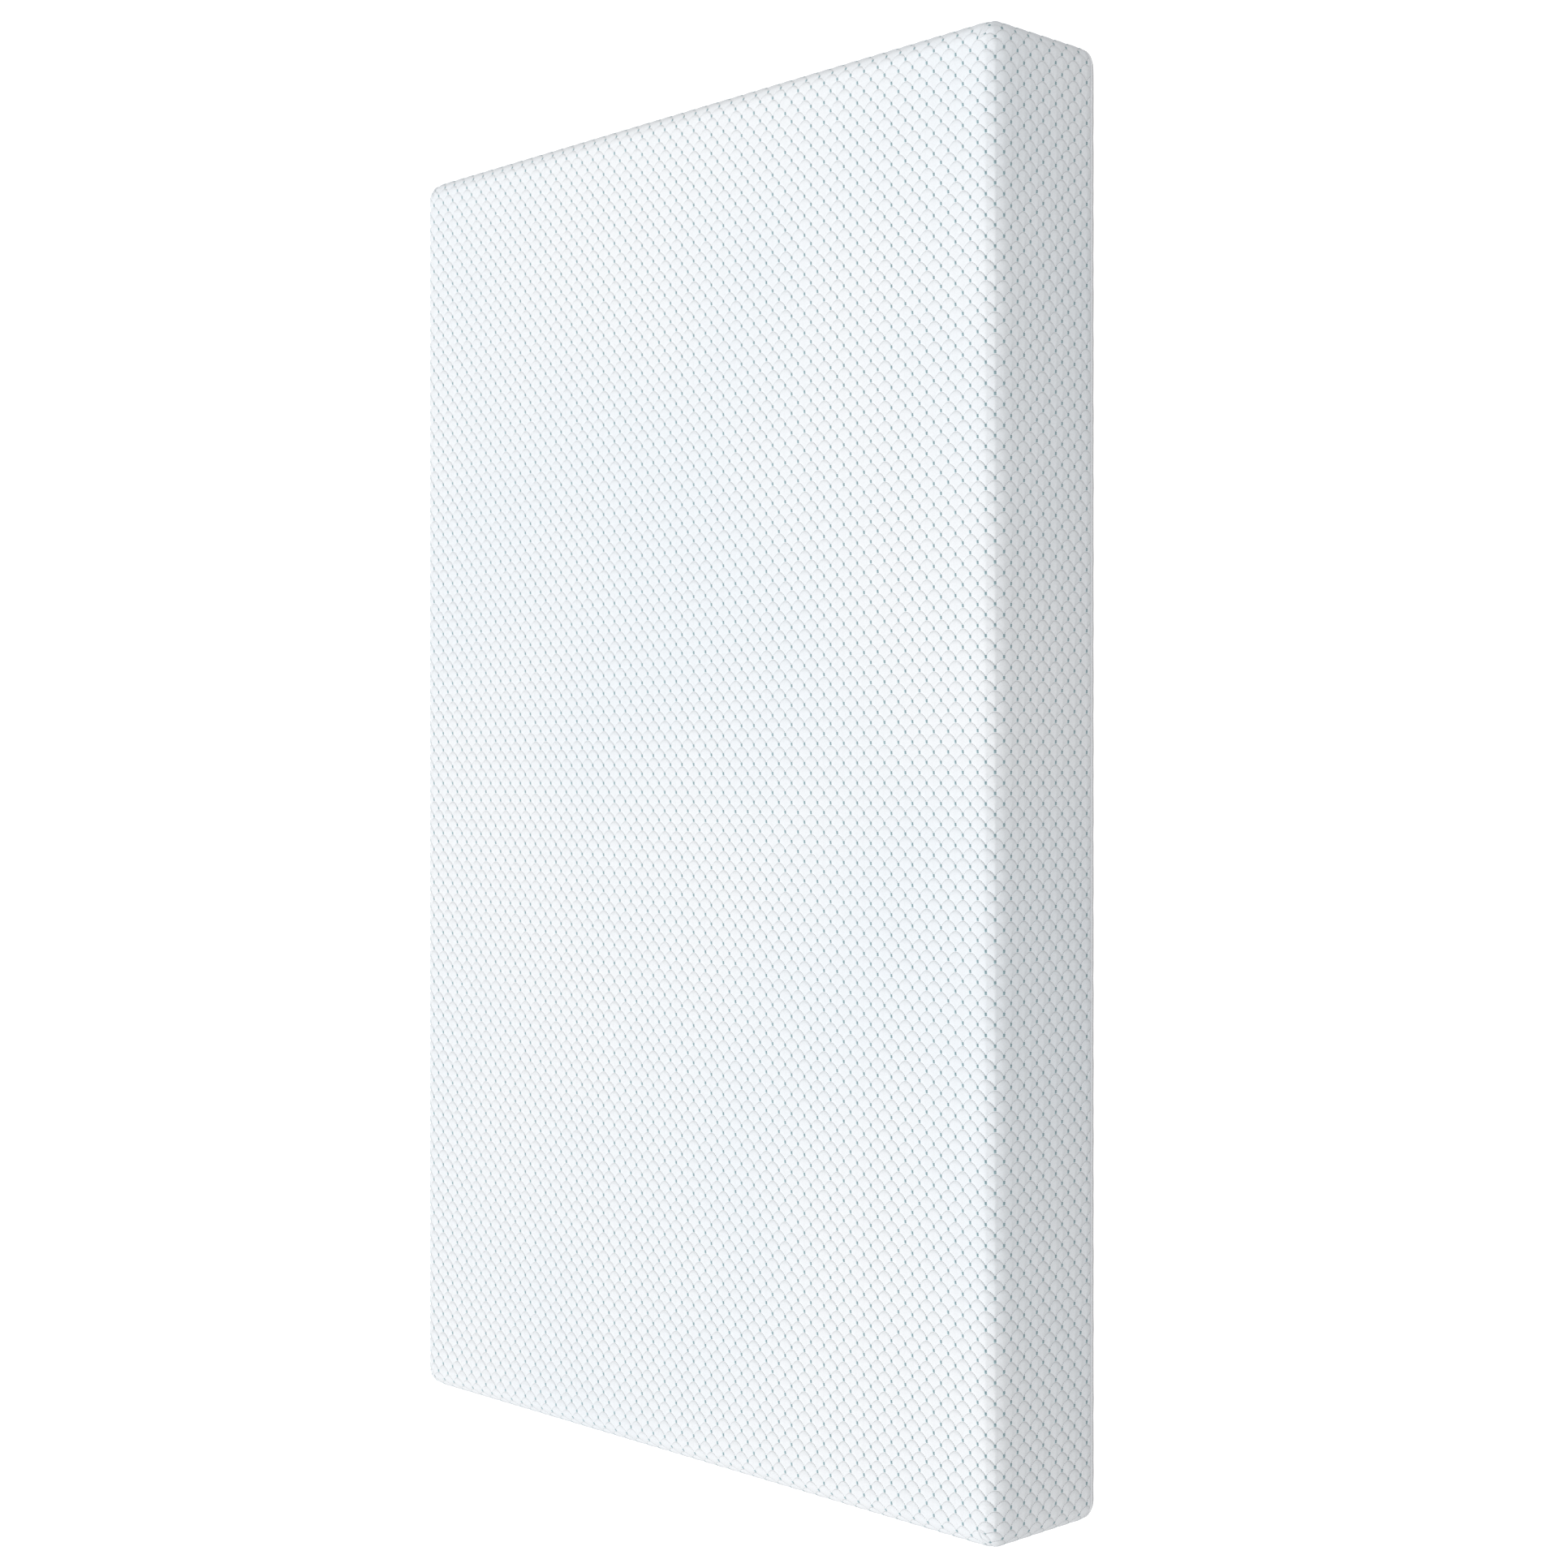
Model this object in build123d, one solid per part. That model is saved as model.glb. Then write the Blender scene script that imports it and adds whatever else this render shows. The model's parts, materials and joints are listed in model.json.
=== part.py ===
from build123d import *
from math import cos, radians, sin
import os

# Memory foam mattress with a zip-off knitted cover, lying flat on its underside. Millimetres.
# +Z points up out of the sleeping surface, +Y runs along the length and +X across the width.
# The origin is the centre of the underside.

# Overall size, and the rounding of every edge and corner of the cover.
LENGTH = 1900.0
WIDTH = 1200.0
EDGE_R = 28.0
COVER_THICK = 4.0

# Inner sock and foam layers, from the bottom up.
SOCK_THICK = 1.0
SOCK_GAP = 1.0
SOCK_EDGE_R = 36.0
BASE_FOAM = 120.0
TRANSITION_FOAM = 40.0
MEMORY_FOAM = 40.0
CORE_THICK = BASE_FOAM + TRANSITION_FOAM + MEMORY_FOAM
CORE_BOTTOM = COVER_THICK + SOCK_THICK
THICKNESS = CORE_THICK + 2 * CORE_BOTTOM

# The seam between cover and base panel runs round the lower edge, SEAM_ANGLE below the side wall.
SEAM_ANGLE = 20.0
SEAM_HEIGHT = EDGE_R * (1 - sin(radians(SEAM_ANGLE)))
BINDING_WIDTH = 3.0
BINDING_BOTTOM = SEAM_HEIGHT - BINDING_WIDTH / 2
BINDING_TOP = SEAM_HEIGHT + BINDING_WIDTH / 2

# The corner seams sit just round each upright corner, on the short ends.
CORNER_SEAM_ANGLE = 80.0
CORNER_SEAM_WIDTH = 1.6
CORNER_SEAM_RISE = 0.3
FACE_GAP = 0.05

# Zip on the -X side. Its plane has x up the wall, y along the length and z outwards, with its origin on
# the cover's outer surface.
ZIP_SLOT_HALF = 6.5
ZIP_SLOT_END = 884.0
CHAIN_END = 850.0
TAPE_END = 876.0
TAPE_OUTER = 4.5
TAPE_THICK = 0.6
TAPE_REACH = 13.0
TAPE_EDGE = 0.55
TAPE_CUT_LOW = -14.0
TAPE_CUT_HIGH = 2.0
COIL_IN = 0.45
COIL_WIDTH = 2.9
COIL_LOW = -4.5
COIL_HIGH = -2.7
STOP_LENGTH = 3.6
STOP_GAP = 0.3
STOP_PROUD = 0.4
PATCH_LOW = -2.0
PATCH_HIGH = -0.7
PATCH_GAP = 0.1
GARAGE_LENGTH = 26.0
END_TAB_LENGTH = 16.0

# Slider, at its closed rest position, and its pull tab.
SLIDER_REST_Y = 842.0
SLIDER_HALF_LENGTH = 5.5
SLIDER_HALF_WIDTH = 4.9
SLIDER_JOIN = 0.2
SLIDER_TOP_CORNER_R = 2.0
SLIDER_TOP_LOW = -2.4
SLIDER_TOP_HIGH = -1.3
SLIDER_FLANGE_IN = 4.0
SLIDER_FLANGE_LOW = -4.2
SLIDER_FLANGE_SETBACK = 2.0
SLIDER_SOLE_HALF = 3.6
SLIDER_SOLE_CORNER_R = 1.6
SLIDER_SOLE_HIGH = -5.7
SLIDER_SOLE_LOW = -6.7
POST_HALF = 0.35
POST_START = 2.5
POST_END = 5.0
LUG_HALF_WIDTH = 0.8
LUG_INNER = 1.0
LUG_OUTER = 1.9
LUG_UNDER = 0.4
LUG_TOP = 1.2
LUG_ROUND_R = 0.8
TAB_BAR_R = 0.55
TAB_BAR_HALF = 2.4
TAB_BAR_HEIGHT = -0.45
TAB_ARM_IN = 1.2
TAB_EYE = 3.2
TAB_ARM_LAP = 1.0
TAB_HALF_WIDTH = 3.75
TAB_LENGTH = 25.0
TAB_CORNER_R = 2.4
TAB_HOLE_R = 1.7
TAB_HOLE_FROM_END = 4.5

# Care label, a folded loop of ribbon that hangs from the seam at the -Y end.
LABEL_X = -500.0
LABEL_WIDTH = 40.0
LABEL_THICK = 0.8
LABEL_LENGTH = 14.0
LABEL_TUCK = 4.0
LABEL_GAP = 0.2
LABEL_FACE_Y = -(LENGTH / 2 - EDGE_R + EDGE_R * cos(radians(SEAM_ANGLE)) + LABEL_GAP)

# Larger than the whole mattress, for cuts that go right through.
BIG = 3000.0


def zip_plane():
    """Plane of the zip: origin on the cover's outer surface, z pointing outwards."""
    angle = radians(SEAM_ANGLE)
    outwards = (-cos(angle), 0, -sin(angle))
    up = (-sin(angle), 0, cos(angle))
    x = -(WIDTH / 2 - EDGE_R) + EDGE_R * outwards[0]
    z = EDGE_R + EDGE_R * outwards[2]
    return Plane(origin=(x, 0, z), x_dir=up, z_dir=outwards)


def span(low, high):
    """A box between two corners."""
    size = [b - a for a, b in zip(low, high)]
    middle = [(a + b) / 2 for a, b in zip(low, high)]
    return Pos(*middle) * Box(*size)


def zip_span(low, high):
    """A box between two corners given in the zip's plane."""
    return zip_plane().location * span(low, high)


def rounded_box(inset, bottom, top, radius):
    """The mattress outline moved in by inset, with every edge rounded."""
    half_x, half_y = WIDTH / 2 - inset, LENGTH / 2 - inset
    block = span((-half_x, -half_y, bottom), (half_x, half_y, top))
    return fillet(block.edges(), radius)


def cover_shell():
    """The whole cover as one closed shell, before it is cut at its seams."""
    outside = rounded_box(0, 0, THICKNESS, EDGE_R)
    inside = rounded_box(COVER_THICK, COVER_THICK, THICKNESS - COVER_THICK, EDGE_R - COVER_THICK)
    return outside - inside


def level(part, bottom, top):
    """What lies between two heights."""
    return part & span((-BIG, -BIG, bottom), (BIG, BIG, top))


def zip_slot():
    """The slot that the zip fills."""
    reach = 2 * COVER_THICK
    return zip_span((-ZIP_SLOT_HALF, -ZIP_SLOT_END, -reach), (ZIP_SLOT_HALF, ZIP_SLOT_END, reach))


def cover_top():
    return level(cover_shell(), BINDING_TOP, BIG) - zip_slot()


def cover_base_panel():
    return level(cover_shell(), -BIG, BINDING_BOTTOM) - zip_slot()


def base_seam_binding():
    ring = level(cover_shell(), BINDING_BOTTOM, BINDING_TOP)
    return ring - zip_slot() - care_label()


def cover_corner_seams():
    """Four raised strips, one at each upright corner."""
    height = THICKNESS - EDGE_R - BINDING_TOP
    middle_z = BINDING_TOP + height / 2
    ring = Cylinder(EDGE_R + CORNER_SEAM_RISE, height) - Cylinder(EDGE_R + FACE_GAP, height)
    strip = ring & Pos(EDGE_R, 0, 0) * Box(EDGE_R, CORNER_SEAM_WIDTH, height)
    seams = []
    for side in (-1, 1):
        for end in (-1, 1):
            angle = end * CORNER_SEAM_ANGLE if side > 0 else 180 - end * CORNER_SEAM_ANGLE
            corner = Pos(side * (WIDTH / 2 - EDGE_R), end * (LENGTH / 2 - EDGE_R), middle_z)
            seams.append(corner * Rot(0, 0, angle) * strip)
    return Compound(children=seams)


def foam_core():
    """The bonded core's outline, which the layers are sliced from."""
    inset = COVER_THICK + SOCK_GAP + SOCK_THICK
    return rounded_box(inset, CORE_BOTTOM, THICKNESS - CORE_BOTTOM, SOCK_EDGE_R - SOCK_THICK)


def foam_layer(bottom, thickness):
    return level(foam_core(), bottom, bottom + thickness)


def barrier_sock():
    inset = COVER_THICK + SOCK_GAP
    outside = rounded_box(inset, COVER_THICK, THICKNESS - COVER_THICK, SOCK_EDGE_R)
    return outside - foam_core()


def zip_tape(side):
    """Woven tape that follows the cover's inner face; side is 1 for the upper one, -1 for the lower."""
    outer_inset, inner_inset = TAPE_OUTER, TAPE_OUTER + TAPE_THICK
    bands = []
    for inset in (outer_inset, inner_inset):
        outline = RectangleRounded(WIDTH - 2 * inset, THICKNESS - 2 * inset, EDGE_R - inset)
        prism = extrude(Plane.XZ * outline, TAPE_END, both=True)
        bands.append(Pos(0, 0, THICKNESS / 2) * prism)
    edges = sorted((side * TAPE_EDGE, side * TAPE_REACH))
    return (bands[0] - bands[1]) & zip_span((edges[0], -TAPE_END, TAPE_CUT_LOW), (edges[1], TAPE_END, TAPE_CUT_HIGH))


def zip_coil(side):
    """One row of the coil as a bar with the coil's outer size."""
    edges = sorted((side * COIL_IN, side * (COIL_IN + COIL_WIDTH)))
    return zip_span((edges[0], -CHAIN_END, COIL_LOW), (edges[1], CHAIN_END, COIL_HIGH))


def zip_top_stops():
    """Two clips, one past the end of each row, at the closed end."""
    start = CHAIN_END + STOP_GAP
    clips = []
    for side in (-1, 1):
        edges = sorted((side * COIL_IN, side * (COIL_IN + COIL_WIDTH + STOP_PROUD)))
        low = (edges[0], start, COIL_LOW)
        clips.append(zip_span(low, (edges[1], start + STOP_LENGTH, COIL_HIGH + STOP_PROUD)))
    return Compound(children=clips)


def zip_bottom_stop():
    """One clip across both rows at the open end."""
    half = COIL_IN + COIL_WIDTH + STOP_PROUD
    start = -CHAIN_END - STOP_GAP - STOP_LENGTH
    return zip_span((-half, start, COIL_LOW), (half, start + STOP_LENGTH, COIL_HIGH + STOP_PROUD))


def slot_patch(start, end):
    """Fabric patch that closes one end of the zip's slot."""
    half = ZIP_SLOT_HALF - PATCH_GAP
    return zip_span((-half, start, PATCH_LOW), (half, end, PATCH_HIGH))


def zip_garage():
    end = ZIP_SLOT_END - PATCH_GAP
    return slot_patch(end - GARAGE_LENGTH, end)


def zip_end_tab():
    start = PATCH_GAP - ZIP_SLOT_END
    return slot_patch(start, start + END_TAB_LENGTH)


def zip_slider():
    """Two plates joined by a post between the rows, with side flanges and a lug for the tab."""
    back, front = -SLIDER_HALF_LENGTH, SLIDER_HALF_LENGTH
    half, sole = SLIDER_HALF_WIDTH, SLIDER_SOLE_HALF
    plate = span((-half, back, SLIDER_TOP_LOW), (half, front, SLIDER_TOP_HIGH))
    plate = fillet(plate.edges().filter_by(Axis.Z), SLIDER_TOP_CORNER_R)
    foot = span((-sole, back, SLIDER_SOLE_LOW), (sole, front, SLIDER_SOLE_HIGH))
    foot = fillet(foot.edges().filter_by(Axis.Z), SLIDER_SOLE_CORNER_R)
    flange_end = SLIDER_HALF_LENGTH - SLIDER_FLANGE_SETBACK
    joined = SLIDER_TOP_LOW + SLIDER_JOIN
    body = plate + foot
    for side in (-1, 1):
        edges = sorted((side * SLIDER_FLANGE_IN, side * half))
        low = (edges[0], -flange_end, SLIDER_FLANGE_LOW)
        body += span(low, (edges[1], flange_end, joined))
    body += span((-POST_HALF, POST_START, SLIDER_SOLE_HIGH - SLIDER_JOIN), (POST_HALF, POST_END, joined))
    lug_foot = SLIDER_TOP_HIGH - SLIDER_JOIN
    lug = span((-LUG_HALF_WIDTH, -LUG_OUTER, lug_foot), (LUG_HALF_WIDTH, LUG_OUTER, LUG_TOP))
    lug = fillet(lug.edges().filter_by(Axis.X).group_by(Axis.Z)[-1], LUG_ROUND_R)
    lug -= span((-SLIDER_SOLE_HALF, -LUG_INNER, SLIDER_TOP_HIGH), (SLIDER_SOLE_HALF, LUG_INNER, LUG_UNDER))
    body += lug
    return zip_plane().location * Pos(0, SLIDER_REST_Y, 0) * body


def zip_pull_tab():
    """Flat tab whose cross bar runs under the slider's lug."""
    low, high = TAB_BAR_HEIGHT - TAB_BAR_R, TAB_BAR_HEIGHT + TAB_BAR_R
    blade = span((-TAB_HALF_WIDTH, -TAB_LENGTH, low), (TAB_HALF_WIDTH, -TAB_EYE, high))
    blade = fillet(blade.edges().filter_by(Axis.Z), TAB_CORNER_R)
    blade -= Pos(0, TAB_HOLE_FROM_END - TAB_LENGTH, TAB_BAR_HEIGHT) * Cylinder(TAB_HOLE_R, 4 * TAB_BAR_R)
    tab = blade
    for side in (-1, 1):
        edges = sorted((side * TAB_ARM_IN, side * TAB_BAR_HALF))
        tab += span((edges[0], -TAB_EYE - TAB_ARM_LAP, low), (edges[1], 0, high))
    tab += Pos(0, 0, TAB_BAR_HEIGHT) * Rot(0, 90, 0) * Cylinder(TAB_BAR_R, 2 * TAB_BAR_HALF)
    return zip_plane().location * Pos(0, SLIDER_REST_Y, 0) * tab


def care_label():
    """Blank folded ribbon, tucked into the seam and hanging in the space under the rounded edge."""
    left, right = LABEL_X - LABEL_WIDTH / 2, LABEL_X + LABEL_WIDTH / 2
    outer = LABEL_FACE_Y - LABEL_THICK
    low = SEAM_HEIGHT - LABEL_LENGTH
    hanging = span((left, outer, low), (right, LABEL_FACE_Y, SEAM_HEIGHT + LABEL_THICK / 2))
    tuck_low = SEAM_HEIGHT - LABEL_THICK / 2
    tuck = span((left, outer, tuck_low), (right, LABEL_FACE_Y + LABEL_TUCK, SEAM_HEIGHT + LABEL_THICK / 2))
    return hanging + tuck


def build():
    transition_bottom = CORE_BOTTOM + BASE_FOAM
    memory_bottom = transition_bottom + TRANSITION_FOAM
    return {
        "cover_top": cover_top(),
        "cover_corner_seams": cover_corner_seams(),
        "cover_base_panel": cover_base_panel(),
        "base_seam_binding": base_seam_binding(),
        "care_label": care_label(),
        "zip_tape_upper": zip_tape(1),
        "zip_tape_lower": zip_tape(-1),
        "zip_coil_upper": zip_coil(1),
        "zip_coil_lower": zip_coil(-1),
        "zip_top_stops": zip_top_stops(),
        "zip_bottom_stop": zip_bottom_stop(),
        "zip_garage": zip_garage(),
        "zip_end_tab": zip_end_tab(),
        "zip_slider": zip_slider(),
        "zip_pull_tab": zip_pull_tab(),
        "barrier_sock": barrier_sock(),
        "foam_base_layer": foam_layer(CORE_BOTTOM, BASE_FOAM),
        "foam_transition_layer": foam_layer(transition_bottom, TRANSITION_FOAM),
        "foam_memory_layer": foam_layer(memory_bottom, MEMORY_FOAM),
    }


if __name__ == "__main__":
    os.makedirs("parts", exist_ok=True)
    for name, part in build().items():
        export_step(part, f"parts/{name}.step")
        box = part.bounding_box()
        print(f"{name}: {box.min.X:.2f} {box.min.Y:.2f} {box.min.Z:.2f} to "
              f"{box.max.X:.2f} {box.max.Y:.2f} {box.max.Z:.2f}")
    hinge = zip_plane().location * Pos(0, SLIDER_REST_Y, TAB_BAR_HEIGHT)
    print("pull tab hinge at", hinge.position)
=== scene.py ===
import json
from math import cos, hypot, pi, radians, sin

import bmesh
import bpy
import numpy as np
from bpy.props import FloatProperty, FloatVectorProperty, IntProperty, PointerProperty
from mathutils import Matrix, Vector

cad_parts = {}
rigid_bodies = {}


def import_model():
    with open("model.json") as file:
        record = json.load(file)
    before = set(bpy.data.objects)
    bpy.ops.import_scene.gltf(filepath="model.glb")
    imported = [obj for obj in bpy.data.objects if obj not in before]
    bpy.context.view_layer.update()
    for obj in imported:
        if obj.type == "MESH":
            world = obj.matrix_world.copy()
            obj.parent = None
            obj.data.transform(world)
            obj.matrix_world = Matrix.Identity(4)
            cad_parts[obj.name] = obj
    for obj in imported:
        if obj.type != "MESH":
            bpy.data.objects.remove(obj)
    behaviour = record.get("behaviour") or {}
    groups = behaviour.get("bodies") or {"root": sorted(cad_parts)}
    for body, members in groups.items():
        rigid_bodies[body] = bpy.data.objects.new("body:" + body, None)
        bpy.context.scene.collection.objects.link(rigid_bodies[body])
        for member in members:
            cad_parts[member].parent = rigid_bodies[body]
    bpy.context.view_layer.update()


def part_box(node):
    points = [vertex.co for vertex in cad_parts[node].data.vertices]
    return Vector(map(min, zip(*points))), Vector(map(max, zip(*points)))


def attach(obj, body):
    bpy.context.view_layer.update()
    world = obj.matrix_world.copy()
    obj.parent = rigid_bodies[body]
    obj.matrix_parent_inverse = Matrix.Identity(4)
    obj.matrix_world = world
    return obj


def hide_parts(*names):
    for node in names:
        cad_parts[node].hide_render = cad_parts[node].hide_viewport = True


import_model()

bl_info = {
    "name": "Foam Mattress Dressing",
    "version": (1, 0, 0),
    "blender": (4, 5, 0),
    "location": "View3D > Sidebar > Mattress",
    "description": "Dresses a foam mattress frame in its knitted cover, zip, seams and core finishes",
    "category": "Object",
}


# ---------------------------------------------------------------- sizes from the frame

COVER_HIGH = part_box("cover_top")[1]
BINDING_LOW, BINDING_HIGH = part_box("base_seam_binding")
COIL_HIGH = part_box("zip_coil_upper")[1]
TAPE_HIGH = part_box("zip_tape_upper")[1]
HALF_X, HALF_Y, TOP = COVER_HIGH[0], COVER_HIGH[1], COVER_HIGH[2]
EDGE_R = 0.028
COVER_THICK = 0.004
CORE_X, CORE_Y = HALF_X - EDGE_R, HALF_Y - EDGE_R
WALL = TOP - 2 * EDGE_R
ARC = EDGE_R * pi / 2
SEAM_ANGLE = radians(20)
SLOT_HALF = 0.0065
SLOT_END = 0.884
ARC_POWER = 0.7

# Zip sizes. Inner, outer, gap, reach, half and PATCH_SEAM are up or down the wall from the chain's middle
# line. TAPE_FACE and TAPE_BACK are depths under the wall's surface; the other faces and backs are heights
# over it, so they are negative. STOP_NEAR and STOP_FAR are along the chain from its middle. ZIP_SEAM is
# from the slot's edge to the stitches beside it.
TAPE_INNER, TAPE_OUTER = 0.00065, 0.0128
TAPE_FACE, TAPE_BACK = 0.0045, 0.0051
COIL_INNER, COIL_OUTER, COIL_DEPTH, COIL_BACK = 0.00042, 0.0034, 0.0018, -0.0036
STOP_GAP, STOP_REACH = 0.00045, 0.00375
STOP_NEAR, STOP_FAR = 0.8503, 0.8539
STOP_BACK, STOP_FACE = -0.0045, -0.0023
PATCH_HALF, PATCH_BACK, PATCH_FACE, PATCH_SEAM = 0.0063, -0.0020, -0.00085, 0.0048
ZIP_SEAM = 0.0022

# Lights: width of the source in degrees, and the way towards it.
KEY_SPREAD, KEY_WAY = 6, (-0.50, -0.20, 0.83)
FILL_SPREAD, FILL_WAY = 16, (0.56, -0.20, 0.80)

SOCK_STITCH = 0.0012


def drop_to_height(height):
    """Arc length from the edge of the flat top, down the wall, to a height on the lower rounded edge."""
    return ARC + WALL + EDGE_R * np.arcsin(1 - height / EDGE_R)


RIM_DROP = float(drop_to_height(BINDING_HIGH[2]))
BASE_DROP = float(drop_to_height(BINDING_LOW[2]))
SEAM_DROP = ARC + WALL + EDGE_R * SEAM_ANGLE
SLOT_DROP = SEAM_DROP - SLOT_HALF
UNDER_DROP = 2 * ARC + WALL
MITRE = radians(80)


# ---------------------------------------------------------------- settings

class CoverSettings(bpy.types.PropertyGroup):
    """Sizes and colours of the knitted cover."""
    cell_width: FloatProperty(name="Cell width", description="Distance between dots across the mattress",
                              default=0.02456, unit="LENGTH")
    cell_length: FloatProperty(name="Cell length", description="Distance between dots along the mattress",
                               default=0.0260, unit="LENGTH")
    dot_x: FloatProperty(name="Dot place across", description="Place of one dot across the mattress",
                         default=0.5094, unit="LENGTH")
    dot_y: FloatProperty(name="Dot place along", description="Place of one dot along the mattress",
                         default=0.0012, unit="LENGTH")
    rise: FloatProperty(name="Scale rise",
                        description="Height of a scale's arc as a share of the cell length",
                        default=0.38, min=0.1, max=0.49)
    puff: FloatProperty(name="Puff height", description="How far a scale swells above its seams",
                        default=0.0024, unit="LENGTH")
    fullness: FloatProperty(name="Fullness", description="How soon a scale fills out above its lower seam",
                            default=1.7, min=1.0, max=6.0)
    steepness: FloatProperty(name="Steepness", description="How sharply a scale drops at its upper seam",
                             default=9.0, min=2.0, max=16.0)
    columns: IntProperty(name="Columns", description="Mesh columns in one cell", default=12, min=4)
    rows: IntProperty(name="Rows", description="Mesh rows in one scale", default=6, min=3)
    wale: FloatProperty(name="Stitch width", description="Width of one knit stitch", default=0.00105,
                        unit="LENGTH")
    yarn: FloatVectorProperty(name="Yarn", description="Colour of the face yarn", subtype="COLOR",
                              default=(0.875, 0.897, 0.92))
    dot_dark: FloatVectorProperty(name="Dot dark", description="Dark stitches of a dot", subtype="COLOR",
                                  default=(0.080, 0.155, 0.180))
    dot_mid: FloatVectorProperty(name="Dot middle", description="Middle stitches of a dot", subtype="COLOR",
                                 default=(0.30, 0.47, 0.52))
    dot_light: FloatVectorProperty(name="Dot light", description="Light stitches of a dot", subtype="COLOR",
                                   default=(0.46, 0.62, 0.66))


class BaseSettings(bpy.types.PropertyGroup):
    """Sizes and colours of the base panel, its binding and the label."""
    spacing: FloatProperty(name="Spacing", description="Mesh spacing of the base panel", default=0.010,
                           unit="LENGTH")
    rings: IntProperty(name="Rings", description="Mesh rows of the turned-up border", default=14, min=4)
    pucker: FloatProperty(name="Pucker", description="Height of the puckers under the seam", default=0.00022,
                          unit="LENGTH")
    weave: FloatProperty(name="Weave", description="Width of one woven thread", default=0.0007, unit="LENGTH")
    fabric: FloatVectorProperty(name="Fabric", description="Colour of the base fabric", subtype="COLOR",
                                default=(0.50, 0.51, 0.53))
    proud: FloatProperty(name="Binding height", description="How far the binding stands out", default=0.0007,
                         unit="LENGTH")
    rib: FloatProperty(name="Rib", description="Width of one rib of the binding", default=0.0009,
                       unit="LENGTH")
    ribbon: FloatVectorProperty(name="Ribbon", description="Colour of the binding and the zip's end patches",
                                subtype="COLOR", default=(0.66, 0.67, 0.69))
    label: FloatVectorProperty(name="Label", description="Colour of the care label", subtype="COLOR",
                               default=(0.86, 0.86, 0.85))


class SewingSettings(bpy.types.PropertyGroup):
    """Sizes and colour of the sewing thread."""
    step: FloatProperty(name="Step", description="From one stitch to the next", default=0.0036, unit="LENGTH")
    stitch: FloatProperty(name="Stitch", description="Length of one stitch", default=0.0029, unit="LENGTH")
    width: FloatProperty(name="Thread width", description="Width of the thread", default=0.0006,
                         unit="LENGTH")
    thread: FloatVectorProperty(name="Thread", description="Colour of the thread", subtype="COLOR",
                                default=(0.84, 0.85, 0.86))


class ZipSettings(bpy.types.PropertyGroup):
    """Sizes and colours of the zip."""
    pitch: FloatProperty(name="Pitch", description="From one turn of the coil to the next", default=0.0016,
                         unit="LENGTH")
    filament: FloatProperty(name="Filament", description="Width of the coil's filament", default=0.00062,
                            unit="LENGTH")
    ripple: FloatProperty(name="Ripple", description="Waviness of the tapes", default=0.00012, unit="LENGTH")
    tape: FloatVectorProperty(name="Tape", description="Colour of the tapes", subtype="COLOR",
                              default=(0.80, 0.81, 0.82))
    coil: FloatVectorProperty(name="Coil", description="Colour of the coil", subtype="COLOR",
                              default=(0.80, 0.81, 0.82))
    metal: FloatVectorProperty(name="Metal", description="Colour of the slider, tab and stops",
                               subtype="COLOR", default=(0.72, 0.72, 0.71))


class StageSettings(bpy.types.PropertyGroup):
    """Camera and light."""
    lens: FloatProperty(name="Lens", description="Focal length", default=56.18, unit="CAMERA")
    out: FloatProperty(name="Distance out", description="Camera distance from the long side wall, in lengths",
                       default=1.0478)
    over: FloatProperty(name="Distance over", description="Camera distance over the top, in lengths",
                        default=1.1949)
    tilt: FloatProperty(name="Tilt", description="How far down the camera looks", default=0.765,
                        subtype="ANGLE")
    key: FloatProperty(name="Key light", description="Strength of the key light", default=1.42)
    fill: FloatProperty(name="Fill light", description="Strength of the light on the long side", default=1.10)
    sky: FloatProperty(name="Even light", description="Strength of the light from all round", default=0.45)
    floor: FloatProperty(name="Floor glow", description="Brightness that the floor shows", default=1.0)
    bounce: FloatProperty(name="Bounce", description="Light that the floor throws up on the object",
                          default=0.24)


# ---------------------------------------------------------------- node arithmetic

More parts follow.
